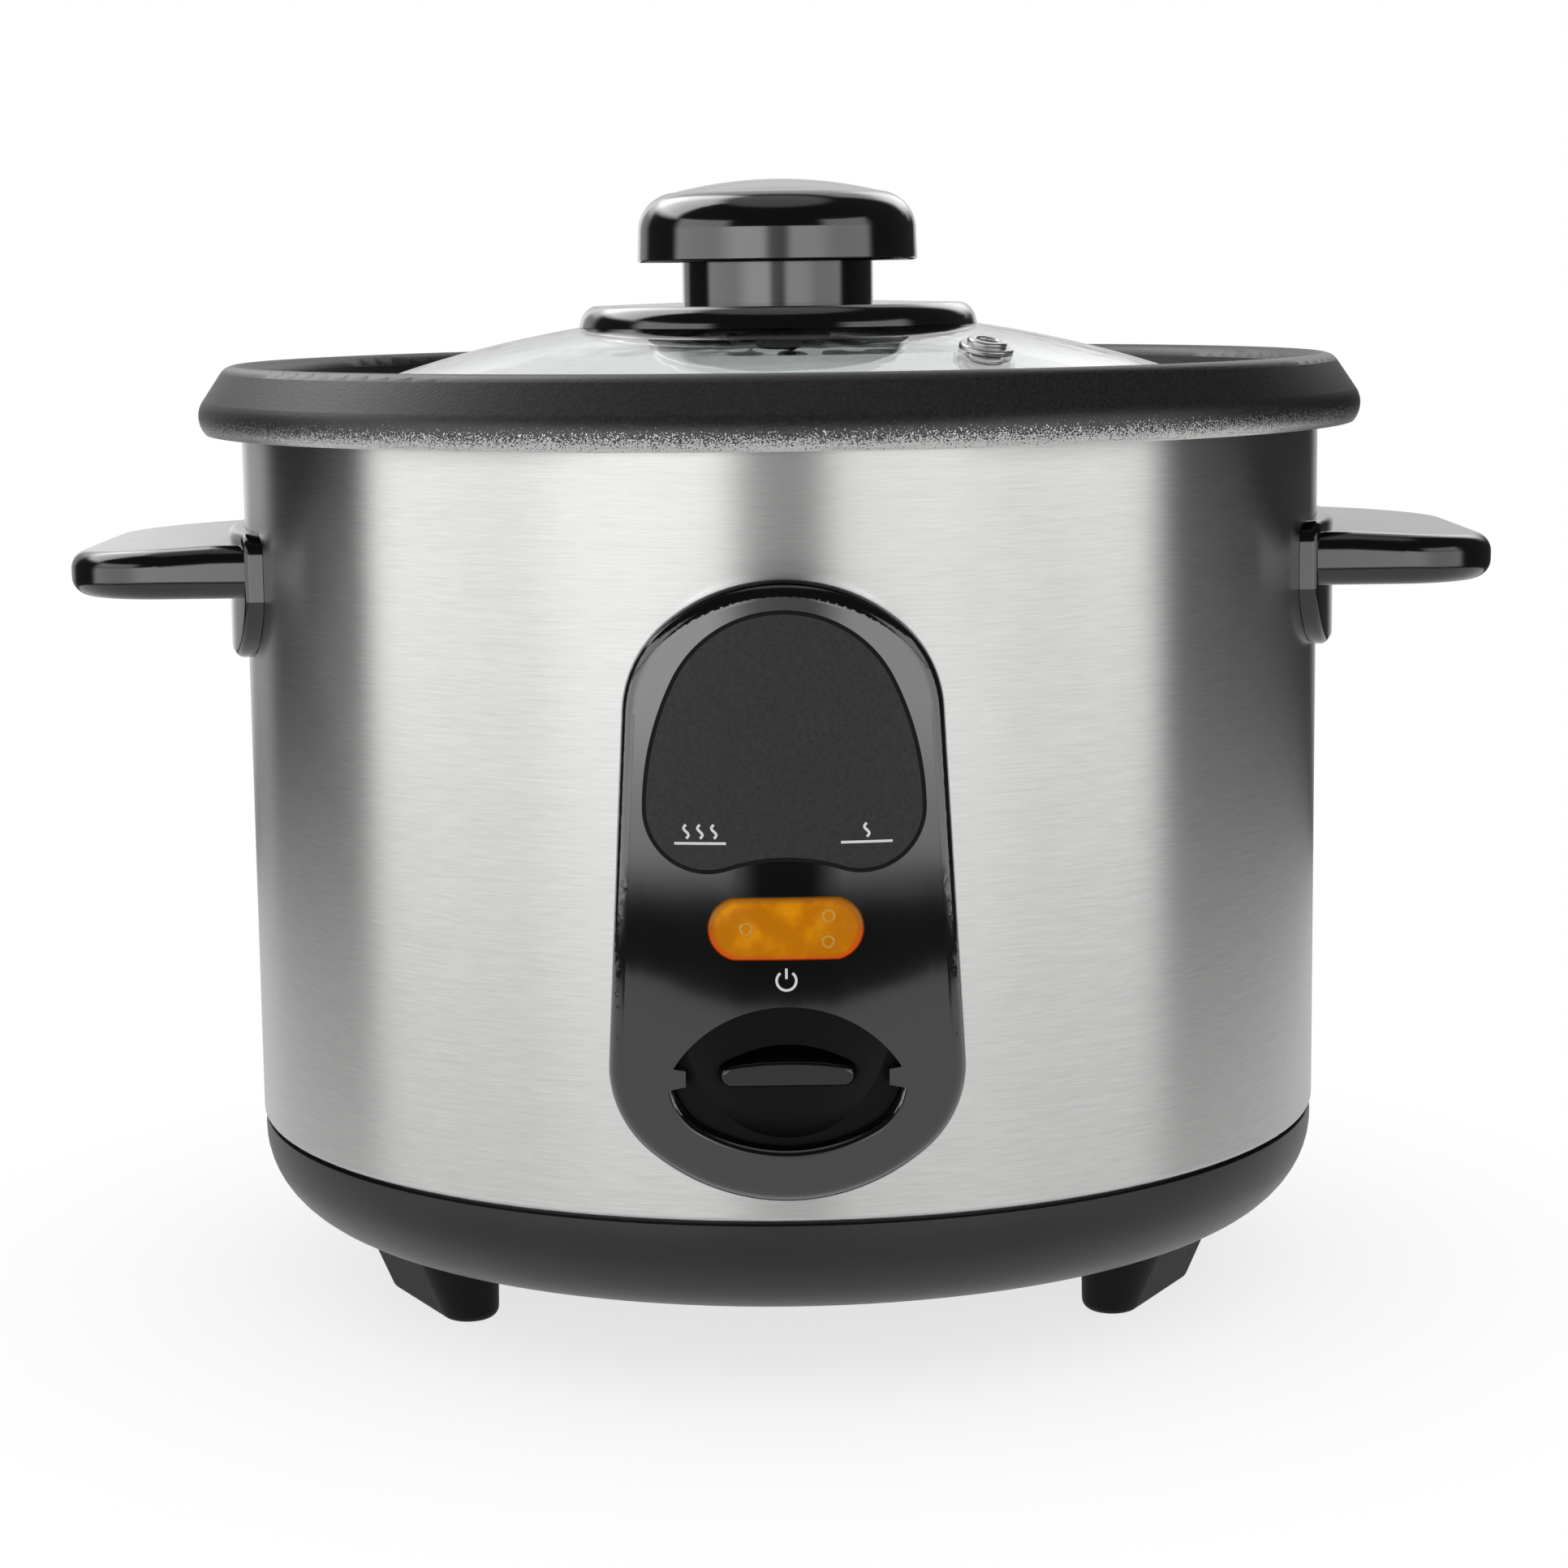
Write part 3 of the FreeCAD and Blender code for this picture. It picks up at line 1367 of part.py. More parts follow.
def make_lamps():
    """Two small lamps behind the lens and the holder that keeps them there."""
    for name, side in (("cook_lamp", -1), ("warm_lamp", 1)):
        lamp = turned_body(name, [
            (0, -5.5),
            (1.6, -5.5),
            (2.4, -4.7, Size.of(0.8), "left"),
            (2.4, 3.6),
            (0.6, 5.4, Size.of(2.2), "left"),
            (0, 5.6),
        ])
        place(lamp, size.lamp_across * side, -size.lamp_back, size.lamp_height, TO_RIGHT)
        node(name, lamp)
    front = -size.lamp_back + 2.5
    low = size.lens_low - 1.4
    high = size.lens_high + 1.4
    board = box("lamp_board", (Size.of(-18.3), front, low), (Size.of(18.3), front + 1.2, high))
    posts = []
    for side in (1, -1):
        posts.append(cylinder("lamp_post_" + str(side), Size.of(1.5), Size.of(6.2), Size.of(16.5 * side),
                              front + 0.5, high - 3, TO_FRONT))
    node("lamp_holder", fuse("lamp_holder", [board] + posts))


def rib_plan(name, half, top, corner, front):
    """Outline of the finger rib at one depth: a level foot whose round corners run into an arched top."""
    low = size.rib_low
    reach = half - corner
    rise = top - low - corner
    arch = (reach * reach + rise * rise - corner * corner) / ((rise - corner) * 2)
    share = arch / (arch - corner)
    shoulder = top - arch + (arch - rise) * share
    plan = draw(free_sketch(name, IN_FRONT_PLANE), [
        (-reach, low, corner, "left"),
        (reach, low),
        (reach * share, shoulder, corner, "left"),
        (-reach * share, shoulder, arch, "left"),
    ])
    return place(plan, y=front, turn=IN_FRONT_PLANE)


def make_key():
    """Switch key: a plate scooped deeper upward, a rib for the finger and a web down to the lever."""
    half = size.key_half
    outline = draw(free_sketch("key_outline", IN_FRONT_PLANE), [
        (-size.eye_corner_half + 0.7, size.eye_corner_height + 1, size.eye_corner - 0.8, "left"),
        (size.eye_corner_half - 0.7, size.eye_corner_height + 1, size.eye_low_arc - 1, "left"),
        (half, size.eye_mid + 1, size.eye_corner - 0.8, "left"),
        (half, size.key_high - 2),
        (half - 2, size.key_high, Size.of(2), "left"),
        (-half + 2, size.key_high),
        (-half, size.key_high - 2, Size.of(2), "left"),
        (-half, size.eye_mid + 1),
    ])
    column = extruded("key_column", outline, FRONT, size.panel_face + 10)
    face = common("key_face", [column, sleeve("key_depth", size.key_back, size.key_face, size.key_low - 5,
                                              size.key_high + 5)])
    scoop = document.addObject("Part::Ellipsoid", "key_scoop")
    bind(scoop, "Radius1", size.scoop_rise)
    bind(scoop, "Radius2", size.scoop_half)
    bind(scoop, "Radius3", size.scoop_depth)
    place(scoop, 0, -size.key_face - 0.6, size.scoop_height)
    dished = cut("key_dished", face, scoop)
    root = -size.key_back - 0.4
    front = -size.rib_front
    tongue = document.addObject("Part::Loft", "rib_tongue")
    tongue.Sections = [
        rib_plan("rib_root_plan", size.rib_half, size.rib_root, size.rib_corner, root),
        rib_plan("rib_nose_plan", size.rib_nose_half, size.rib_high, size.rib_corner - 0.2, front),
    ]
    tongue.Solid = True
    tongue.Ruled = True

    def is_nose_edge(edge):
        return all(abs(point.y - front.number) < 0.01 for point in edge_points(edge))

    rib = rounded("key_rib", tongue, size.rib_edge, is_nose_edge)
    web = size.key_web_half
    back = -size.lever_front
    step_low = size.key_step
    step_high = size.key_step + 2
    step = box("key_step", (-web, root - 0.2, step_low), (web, back, step_high))
    drop = box("key_drop", (-web, back, size.lever_low + size.lever_wall + 0.3), (web, back + 2, step_high))
    node("switch_key", fuse("switch_key", [dished, rib, step, drop]))


def make_handles():
    """Two side handles, each a curved mounting plate with a rounded grip hollowed from below."""
    seat = size.body_radius + size.seat_gap
    outer = size.body_radius + size.plate_proud
    half = size.plate_half
    low = size.plate_low
    high = size.plate_high
    outline = draw(free_sketch("mount_outline", IN_SIDE_PLANE), [
        (-size.plate_foot_half, low, Size.of(13), "left"),
        (size.plate_foot_half, low),
        (half, low + 11, Size.of(13), "left"),
        (half, high - 4),
        (half - 4, high, Size.of(4), "left"),
        (-half + 4, high),
        (-half, high - 4, Size.of(4), "left"),
        (-half, low + 11),
    ])
    column = extruded("mount_column", outline, RIGHT, size.handle_tip)
    mount = common("mount_block", [column, sleeve("mount_depth", seat, outer, low - 5, high + 5)])
    mount = rounded("mount_smooth", mount, Size.of(1.4), on_radius(outer))
    tip = size.handle_tip
    reach = size.grip_half
    profile = draw(free_sketch("grip_profile", IN_FRONT_PLANE), [
        (size.body_radius - 10, size.grip_low),
        (tip, size.grip_low),
        (tip, size.grip_end),
        (size.body_radius + 2, size.grip_root),
        (size.body_radius - 10, size.grip_root),
    ])
    place(profile, y=reach + 2, turn=IN_FRONT_PLANE)
    plan = draw(free_sketch("grip_plan", Rotation()), [
        (size.body_radius - 12, -reach),
        (tip - size.grip_corner, -reach),
        (tip, -reach + size.grip_corner, size.grip_corner, "left"),
        (tip, reach - size.grip_corner),
        (tip - size.grip_corner, reach, size.grip_corner, "left"),
        (size.body_radius - 12, reach),
    ])
    bar = common("grip_bar", [extruded("grip_side", profile, FRONT, reach * 2 + 4),
                              extruded("grip_top", plan, UP, high + 10)])
    bar = cut("grip_fitted", bar, cylinder("grip_fit", outer - 1, high + 10))

    def is_long_edge(edge):
        heights = [point.z for point in edge_points(edge)]
        return max(heights) - min(heights) < 2.5 and not on_radius(outer - 1)(edge)

    grip = rounded("grip_smooth", bar, size.grip_edge, is_long_edge)
    pocket = box("grip_pocket", (outer + 3, -size.pocket_half, size.grip_low - 1),
                 (tip - 6, size.pocket_half, size.grip_root - 3.6))
    handle = cut("grip_hollowed", fuse("handle_solid", [mount, grip]), pocket)
    bores = []
    screws = []
    height = size.handle_screw_height
    for index, side in enumerate((1, -1)):
        along = size.handle_screw_along * side
        near = size.body_radius - 8
        bores.append(cylinder("handle_bore_" + str(index), Size.of(1.45), Size.of(20), near, along, height,
                              TO_RIGHT))
        shaft = cylinder("handle_shaft_" + str(index), Size.of(1.4), Size.of(18), near + 0.8, along, height,
                         TO_RIGHT)
        head = cylinder("handle_head_" + str(index), Size.of(2.8), Size.of(1.5), near + 0.7, along, height,
                        TO_RIGHT)
        screws.append(fuse("handle_screw_" + str(index), [shaft, head]))
    right = cut("right_handle", handle, fuse("handle_bores", bores))
    node("right_handle", right)
    node("left_handle", mirrored("left_handle", right, RIGHT))
    pair = group("right_handle_screws", screws)
    node("handle_screws", group("handle_screws", [pair, mirrored("left_handle_screws", pair, RIGHT)]))


def make_inlet():
    """Rear power inlet: a curved flange, a recessed socket and two round pins."""
    seat = size.body_radius + size.seat_gap
    outer = size.body_radius + size.inlet_proud
    middle = size.inlet_height
    rise = size.inlet_flange_rise
    outline = free_sketch("inlet_outline", IN_FRONT_PLANE)
    draw(outline, rectangle_steps(size.inlet_flange_half, middle - rise, middle + rise, Size.of(4)))
    column = extruded("inlet_column", outline, REAR, outer + 10)
    flange = common("inlet_flange", [column, sleeve("inlet_depth", seat, outer, middle - 15, middle + 15)])
    flange = rounded("inlet_smooth", flange, Size.of(1.2), on_radius(outer))
    back = size.inlet_back
    body = box("inlet_body", (-size.inlet_half, back, middle - size.inlet_rise),
               (size.inlet_half, size.body_radius + 1.2, middle + size.inlet_rise))
    mouth = free_sketch("socket_outline", IN_FRONT_PLANE)
    tall = size.socket_rise
    draw(mouth, rectangle_steps(size.socket_half, middle - tall, middle + tall, Size.of(3)))
    place(mouth, y=size.socket_floor, turn=IN_FRONT_PLANE)
    socket = extruded("socket", mouth, REAR, Size.of(40))
    pins = []
    bores = []
    for side in (1, -1):
        x = size.blade_across * side
        pin = cylinder("inlet_pin_" + str(side), size.blade_radius, Size.of(21), x, back - 6, middle, TO_REAR)
        pins.append(rounded("inlet_pin_smooth_" + str(side), pin, Size.of(0.7), lambda edge: edge.Closed))
        bores.append(cylinder("inlet_bore_" + str(side), size.blade_radius + 0.05, Size.of(10), x, back - 2,
                              middle, TO_REAR))
    hollow = fuse("inlet_hollow", [socket] + bores)
    node("power_inlet", cut("power_inlet", fuse("inlet_solid", [flange, body]), hollow))
    node("inlet_pins", group("inlet_pins", pins))


def wire_ring(centre, along):
    """Outline of a lead round a point, square to its direction."""
    side = along.cross(UP)
    corners = []
    for step in range(WIRE_SIDES + 1):
        angle = 2 * math.pi * step / WIRE_SIDES
        corners.append(centre + (side * math.cos(angle) + UP * math.sin(angle)) * size.lead_radius.number)
    return Part.makePolygon(corners)


def make_leads():
    """Insulated wires from the inlet through fuse and contacts to the element, along smooth routes."""
    back = size.inlet_back.number - 6.1
    middle = size.inlet_height.number
    across = size.blade_across.number
    tab_x = size.element_circle.number * 0.5
    tab_y = size.element_circle.number * 0.866 - 0.6
    side = size.contact_root.number + 8.1
    front = -size.contact_back.number
    fuse_x = FUSE_PLACE.x
    fuse_z = FUSE_PLACE.z
    fuse_low = FUSE_PLACE.y - 0.1
    fuse_high = FUSE_PLACE.y + FUSE_LENGTH + 0.1
    left = -RIGHT
    routes = {
        "inlet_to_fuse": (FRONT, FRONT, [
            (-across, back, middle), (-16, 66, 32), (-38, 44, 30), (fuse_x, 31, 40),
            (fuse_x, fuse_high, fuse_z)]),
        "fuse_to_element": (FRONT, REAR, [
            (fuse_x, fuse_low, fuse_z), (-50, -2, 38), (-56, 12, 28), (-44, 34, 26), (-tab_x, tab_y, 40)]),
        "inlet_to_contact": (FRONT, left, [
            (across, back, middle), (16, 66, 31), (38, 34, 27), (58, 6, 34), (side, front, 40.3)]),
        "contact_to_element": (RIGHT, REAR, [
            (side, front - 3, 24), (58, 6, 22), (50, 26, 24), (36, 36, 30), (tab_x, tab_y, 40)]),
    }
    wires = []
    for name, (first, last, points) in routes.items():
        spine = Part.BSplineCurve()
        places = [Vector(*point) for point in points]
        spine.interpolate(Points=places, InitialTangent=first * 30, FinalTangent=last * 30)
        path = Part.Wire([spine.toShape()])
        wire = document.addObject("Part::Feature", "lead_" + name)
        wire.Shape = path.makePipeShell([wire_ring(places[0], first)], True, False)
        wires.append(wire)
    node("leads", group("leads", wires))


def finish():
    """Check every object and write one file per sub-part."""
    document.recompute()
    for thing in document.Objects:
        if "Invalid" in thing.State or "Error" in thing.State:
            raise RuntimeError(thing.Label + " did not build")
    os.makedirs("parts", exist_ok=True)
    for label, thing in nodes.items():
        if thing.Shape.isNull() or not thing.Shape.isValid():
            raise RuntimeError(label + " has no valid shape")
        thing.Shape.exportStep("parts/" + label + ".step")


make_outer_shell()
make_inner_liner()
make_base()
make_feet()
make_screws()
make_heating_plate()
make_heating_element()
make_sensor()
make_lever()
make_contacts()
make_inner_pot()
make_lid()
make_knob()
make_panel()
make_lamps()
make_key()
make_handles()
make_inlet()
make_leads()
finish()
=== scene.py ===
"""Looks of a drum rice cooker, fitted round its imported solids."""

import logging
import math
from dataclasses import dataclass
from enum import Enum
from typing import Mapping, Optional, Sequence, Tuple, Union

import bpy
import numpy as np
from mathutils import Matrix, Vector


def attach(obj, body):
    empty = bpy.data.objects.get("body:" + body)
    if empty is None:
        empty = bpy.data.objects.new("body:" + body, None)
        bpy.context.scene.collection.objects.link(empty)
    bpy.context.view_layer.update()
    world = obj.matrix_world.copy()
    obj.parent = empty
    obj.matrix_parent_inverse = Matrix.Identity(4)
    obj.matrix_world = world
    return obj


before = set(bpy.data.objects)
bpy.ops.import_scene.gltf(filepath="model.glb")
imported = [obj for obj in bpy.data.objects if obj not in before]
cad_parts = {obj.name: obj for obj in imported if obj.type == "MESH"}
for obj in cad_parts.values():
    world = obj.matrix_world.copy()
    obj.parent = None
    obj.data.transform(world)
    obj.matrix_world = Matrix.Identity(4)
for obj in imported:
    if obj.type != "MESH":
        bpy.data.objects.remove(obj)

MM = 0.001
Colour = Tuple[float, float, float, float]
WHITE: Colour = (1.0, 1.0, 1.0, 1.0)

log = logging.getLogger("rice_cooker")


def grey(level: float, warmth: float = 0.0) -> Colour:
    """A neutral colour, warmer above zero and cooler below it."""
    return (level * (1 + warmth), level, level * (1 - warmth), 1.0)


class Body(Enum):
    """The bodies that the added pieces ride on."""

    HOUSING = "housing"


class Value:
    """A number that changes over a surface, so that Python maths on it adds Math nodes."""

    def __init__(self, graph: "Graph", socket: bpy.types.NodeSocket) -> None:
        """Keep the node tree and the socket that gives the number."""
        self.graph = graph
        self.socket = socket

    def _math(self, operation: str, *terms: "Feed") -> "Value":
        """Add one Math node.

        Args:
            operation: The Math node's operation.
            terms: What goes into its sockets, in order.

        Returns:
            The result.
        """
        node = self.graph.add("ShaderNodeMath", {"operation": operation}, dict(enumerate(terms)))
        return Value(self.graph, node.outputs[0])

    def __add__(self, other: "Feed") -> "Value":
        """Sum."""
        return self._math("ADD", self, other)

    def __radd__(self, other: "Feed") -> "Value":
        """Sum, the other way round."""
        return self._math("ADD", other, self)

    def __sub__(self, other: "Feed") -> "Value":
        """Difference."""
        return self._math("SUBTRACT", self, other)

    def __rsub__(self, other: "Feed") -> "Value":
        """Difference, the other way round."""
        return self._math("SUBTRACT", other, self)

    def __mul__(self, other: "Feed") -> "Value":
        """Product."""
        return self._math("MULTIPLY", self, other)

    def __rmul__(self, other: "Feed") -> "Value":
        """Product, the other way round."""
        return self._math("MULTIPLY", other, self)

    def root(self) -> "Value":
        """Square root."""
        return self._math("SQRT", self)

    def sine(self) -> "Value":
        """Sine of an angle in radians."""
        return self._math("SINE", self)

    def size(self) -> "Value":
        """The number without its sign."""
        return self._math("ABSOLUTE", self)

    def larger(self, other: "Feed") -> "Value":
        """The larger of two numbers."""
        return self._math("MAXIMUM", self, other)

    def rise(self, low: "Feed", high: "Feed") -> "Value":
        """Go smoothly from 0 at low to 1 at high.

        Args:
            low: Where the result starts to rise.
            high: Where it reaches 1.

        Returns:
            A mask from 0 to 1.
        """
        inputs = {"Value": self, "From Min": low, "From Max": high}
        node = self.graph.add("ShaderNodeMapRange", {"interpolation_type": "SMOOTHSTEP"}, inputs)
        return Value(self.graph, node.outputs["Result"])


Feed = Union[float, Sequence[float], Value, bpy.types.NodeSocket]


class Graph:
    """The node tree of one material or of the world, and the few ways in which it is written."""

    def __init__(self, owner: Union[bpy.types.Material, bpy.types.World]) -> None:
        """Clear the owner's tree and start with what its surface reads."""
        owner.use_nodes = True
        self.tree = owner.node_tree
        self.tree.nodes.clear()
        self.places = self.add("ShaderNodeTexCoord")

    def add(
        self,
        kind: str,
        settings: Optional[Mapping[str, object]] = None,
        inputs: Optional[Mapping[Union[str, int], Feed]] = None,
    ) -> bpy.types.Node:
        """Add a node.

        Args:
            kind: The node's type.
            settings: Its own properties, set first.
            inputs: A value or a link for each named or numbered socket.

        Returns:
            The node.
        """
        node = self.tree.nodes.new(kind)
        for name, setting in (settings or {}).items():
            setattr(node, name, setting)
        for name, feed in (inputs or {}).items():
            socket = node.inputs[name]
            if isinstance(feed, Value):
                self.tree.links.new(feed.socket, socket)
            elif isinstance(feed, bpy.types.NodeSocket):
                self.tree.links.new(feed, socket)
            else:
                socket.default_value = feed
        return node

    def scaled(self, factors: Sequence[float]) -> bpy.types.NodeSocket:
        """Object coordinates multiplied along each axis."""
        inputs = {0: self.places.outputs["Object"], 1: tuple(factors)}
        return self.add("ShaderNodeVectorMath", {"operation": "MULTIPLY"}, inputs).outputs[0]

    def noise(self, per_metre: Union[float, Sequence[float]], detail: float = 2.0) -> Value:
        """Smooth noise from 0 to 1.

        Args:
            per_metre: How many features a metre holds, alike in all directions or along each axis.
            detail: How many finer layers are added.

        Returns:
            The noise.
        """
        factors = (per_metre,) * 3 if isinstance(per_metre, (int, float)) else per_metre
        inputs = {"Vector": self.scaled(factors), "Scale": 1.0, "Detail": detail}
        return Value(self, self.add("ShaderNodeTexNoise", {}, inputs).outputs["Fac"])

    def grains(self, per_metre: float) -> Value:
        """Distance to the nearest of many scattered points, for leathery or sandy grain."""
        inputs = {"Vector": self.places.outputs["Object"], "Scale": per_metre}
        return Value(self, self.add("ShaderNodeTexVoronoi", {}, inputs).outputs["Distance"])

    def parts(self, vector: bpy.types.NodeSocket) -> Tuple[Value, Value, Value]:
        """The three numbers of a vector."""
        node = self.add("ShaderNodeSeparateXYZ", {}, {0: vector})
        return tuple(Value(self, socket) for socket in node.outputs)

    def place(self) -> Tuple[Value, Value, Value]:
        """The x, y and z of the surface, in metres."""
        return self.parts(self.places.outputs["Object"])

    def blend(self, factor: Feed, low: Feed, high: Feed) -> bpy.types.NodeSocket:
        """A colour between two colours."""
        inputs = {0: factor, 6: low, 7: high}
        return self.add("ShaderNodeMix", {"data_type": "RGBA"}, inputs).outputs[2]

    def bump(self, height: Value, depth: float, strength: float = 1.0) -> bpy.types.NodeSocket:
        """A normal that follows a height.

        Args:
            height: The height, in units of depth.
            depth: Metres from height 0 to height 1.
            strength: How much of the tilt is used.

        Returns:
            The normal.
        """
        inputs = {"Height": height, "Distance": depth, "Strength": strength}
        return self.add("ShaderNodeBump", {}, inputs).outputs["Normal"]

    def surface(self, inputs: Mapping[str, Feed]) -> None:
        """End a material in one Principled shader."""
        shader = self.add("ShaderNodeBsdfPrincipled", {}, inputs)
        self.add("ShaderNodeOutputMaterial", {}, {"Surface": shader.outputs[0]})


@dataclass(frozen=True)
class Finish:
    """A finish with a name; its draw method writes the nodes."""

    name: str

    def draw(self, graph: Graph) -> None:
        """Write the nodes of this finish."""
        raise NotImplementedError

    def material(self) -> bpy.types.Material:
        """The material of this finish, made once."""
        found = bpy.data.materials.get(self.name)
        if found is None:
            found = bpy.data.materials.new(self.name)
            self.draw(Graph(found))
        return found


@dataclass(frozen=True)
class BrushedSteel(Finish):
    """Sheet steel brushed round the drum, with fine streaks, faint blotches and a few handling marks."""

    dark: Colour = (0.53, 0.53, 0.525, 1.0)
    light: Colour = (0.65, 0.65, 0.64, 1.0)
    streaks: Tuple[float, float, float] = (190.0, 190.0, 8200.0)
    bands: Tuple[float, float, float] = (30.0, 30.0, 2600.0)
    smears: Tuple[float, float, float] = (26.0, 26.0, 14.0)
    roughness: float = 0.3
    depth: float = 0.004

    def draw(self, graph: Graph) -> None:
        """Streaks long round the drum and thin along its height set colour, roughness and a fine bump."""
        fine = graph.noise(self.streaks, 2.0)
        broad = graph.noise(self.bands, 1.0)
        smear = graph.noise(self.smears, 3.0).rise(0.55, 0.8)
        mix = (fine * 0.8 + broad * 0.2).rise(0.25, 0.75)
        graph.surface({
            "Base Color": graph.blend(mix, self.dark, self.light),
            "Metallic": 1.0,
            "Roughness": self.roughness + (fine - 0.5) * 0.06 + smear * 0.03,
            "Anisotropic": 0.9,
            "Anisotropic Rotation": 0.25,
            "Normal": graph.bump(fine, self.depth * MM, 0.5),
        })


@dataclass(frozen=True)
class GlossPlastic(Finish):
    """Polished black moulding with slightly wavy reflections and faint smears."""

    tone: float = 0.002
    roughness: float = 0.06
    wave: float = 0.03
    skin: float = 1.0
    waves_per_metre: float = 70.0
    smears: Tuple[float, float, float] = (160.0, 160.0, 60.0)
    specks_per_metre: float = 2600.0

    def draw(self, graph: Graph) -> None:
        """A slow wave bends the reflections; smears and specks change roughness and colour a little."""
        wave = graph.noise(self.waves_per_metre, 1.0)
        smear = graph.noise(self.smears, 4.0)
        speck = graph.noise(self.specks_per_metre, 1.0).rise(0.68, 0.8)
        graph.surface({
            "Base Color": graph.blend(speck * 0.5, grey(self.tone), grey(self.tone * 4)),
            "Roughness": self.roughness + (smear - 0.5) * 0.04 + speck * 0.06,
            "IOR": 1.6,
            "Coat Weight": self.skin,
            "Coat Roughness": self.roughness,
            "Normal": graph.bump(wave, self.wave * MM, 1.0),
        })


@dataclass(frozen=True)
class KeyPlastic(Finish):
    """Black key, finely grained in its scoop and polished on the rib that stands out of it."""

    tone: float = 0.0012
    roughness: float = 0.36
    rib_from: float = 104.6
    rib_full: float = 105.2
    per_metre: float = 2600.0
    depth: float = 0.02

    def draw(self, graph: Graph) -> None:
        """The distance from the upright axis tells rib from scoop, and the rib gets a polished skin."""
        x, y, _ = graph.place()
        polish = (x * x + y * y).root().rise(self.rib_from * MM, self.rib_full * MM)
        grain = graph.noise(self.per_metre, 2.0)
        graph.surface({
            "Base Color": graph.blend(grain.rise(0.4, 0.7), grey(self.tone), grey(self.tone * 2)),
            "Roughness": self.roughness + (grain - 0.5) * 0.1,
            "Specular IOR Level": 0.12,
            "Coat Weight": polish,
            "Coat Roughness": 0.05,
            "Normal": graph.bump(grain * (1.0 - polish), self.depth * MM, 0.6),
        })


@dataclass(frozen=True)
class SatinPlastic(Finish):
    """Moulded plastic with a fine even grain."""

    tone: Colour = (0.005, 0.005, 0.0055, 1.0)
    pale: Colour = (0.01, 0.01, 0.011, 1.0)
    roughness: float = 0.4
    per_metre: float = 2400.0
    depth: float = 0.02

    def draw(self, graph: Graph) -> None:
        """Fine grain gives the bump, and slower clouds change colour and roughness a little."""
        grain = graph.noise(self.per_metre, 2.0)
        cloud = graph.noise(55.0, 3.0)
        graph.surface({
            "Base Color": graph.blend((grain * 0.5 + cloud * 0.5).rise(0.35, 0.7), self.tone, self.pale),
            "Roughness": self.roughness + (cloud - 0.5) * 0.1,
            "Normal": graph.bump(grain, self.depth * MM, 0.8),
        })


@dataclass(frozen=True)
class GrainedPlastic(Finish):
    """Matt plastic with a spark-eroded grain that can be seen."""

    tone: float = 0.009
    pale: float = 0.018
    roughness: float = 0.55
    shine: float = 0.4
    per_metre: float = 1500.0
    depth: float = 0.07

    def draw(self, graph: Graph) -> None:
        """Rounded grains give the bump, and their tops are a little paler."""
        grain = graph.noise(self.per_metre, 2.0)
        cell = graph.grains(self.per_metre * 0.9)
        height = grain * 0.6 + cell * 0.4
        graph.surface({
            "Base Color": graph.blend(height.rise(0.3, 0.65), grey(self.tone), grey(self.pale)),
            "Roughness": self.roughness + (grain - 0.5) * 0.15,
            "Specular IOR Level": self.shine,
            "Normal": graph.bump(height, self.depth * MM, 0.9),
        })


@dataclass(frozen=True)
class Metal(Finish):
    """Bare or plated metal with fine tool marks and a faint tarnish."""

    dark: Colour
    light: Colour
    roughness: float = 0.25
    marks: Tuple[float, float, float] = (900.0, 900.0, 900.0)
    depth: float = 0.01

    def draw(self, graph: Graph) -> None:
        """Marks give bump and roughness, and tarnish in clouds lies over the colour."""
        mark = graph.noise(self.marks, 3.0)
        cloud = graph.noise(80.0, 3.0)
        graph.surface({
            "Base Color": graph.blend((mark * 0.4 + cloud * 0.6).rise(0.3, 0.65), self.dark, self.light),
            "Metallic": 1.0,
            "Roughness": self.roughness + (mark - 0.5) * 0.12 + (cloud - 0.5) * 0.1,
            "Normal": graph.bump(mark, self.depth * MM, 0.7),
        })


@dataclass(frozen=True)
class TurnedAluminium(Finish):
    """Cast aluminium faced on a lathe, with fine rings about the upright axis."""

    dark: Colour = (0.42, 0.42, 0.41, 1.0)
    light: Colour = (0.68, 0.68, 0.67, 1.0)
    rings_per_metre: float = 1400.0
    roughness: float = 0.32
    depth: float = 0.02

    def draw(self, graph: Graph) -> None:
        """Rings are a sine of the radius; clouds of heat tint lie over them."""
        x, y, _ = graph.place()
        radius = (x * x + y * y).root()
        ring = (radius * (self.rings_per_metre * 2 * math.pi)).sine() * 0.5 + 0.5
        cloud = graph.noise(60.0, 4.0)
        tint = (ring * 0.25 + cloud * 0.75).rise(0.25, 0.7)
        graph.surface({
            "Base Color": graph.blend(tint, self.dark, self.light),
            "Metallic": 1.0,
            "Roughness": self.roughness + (cloud - 0.5) * 0.16,
            "Normal": graph.bump(ring, self.depth * MM, 0.5),
        })


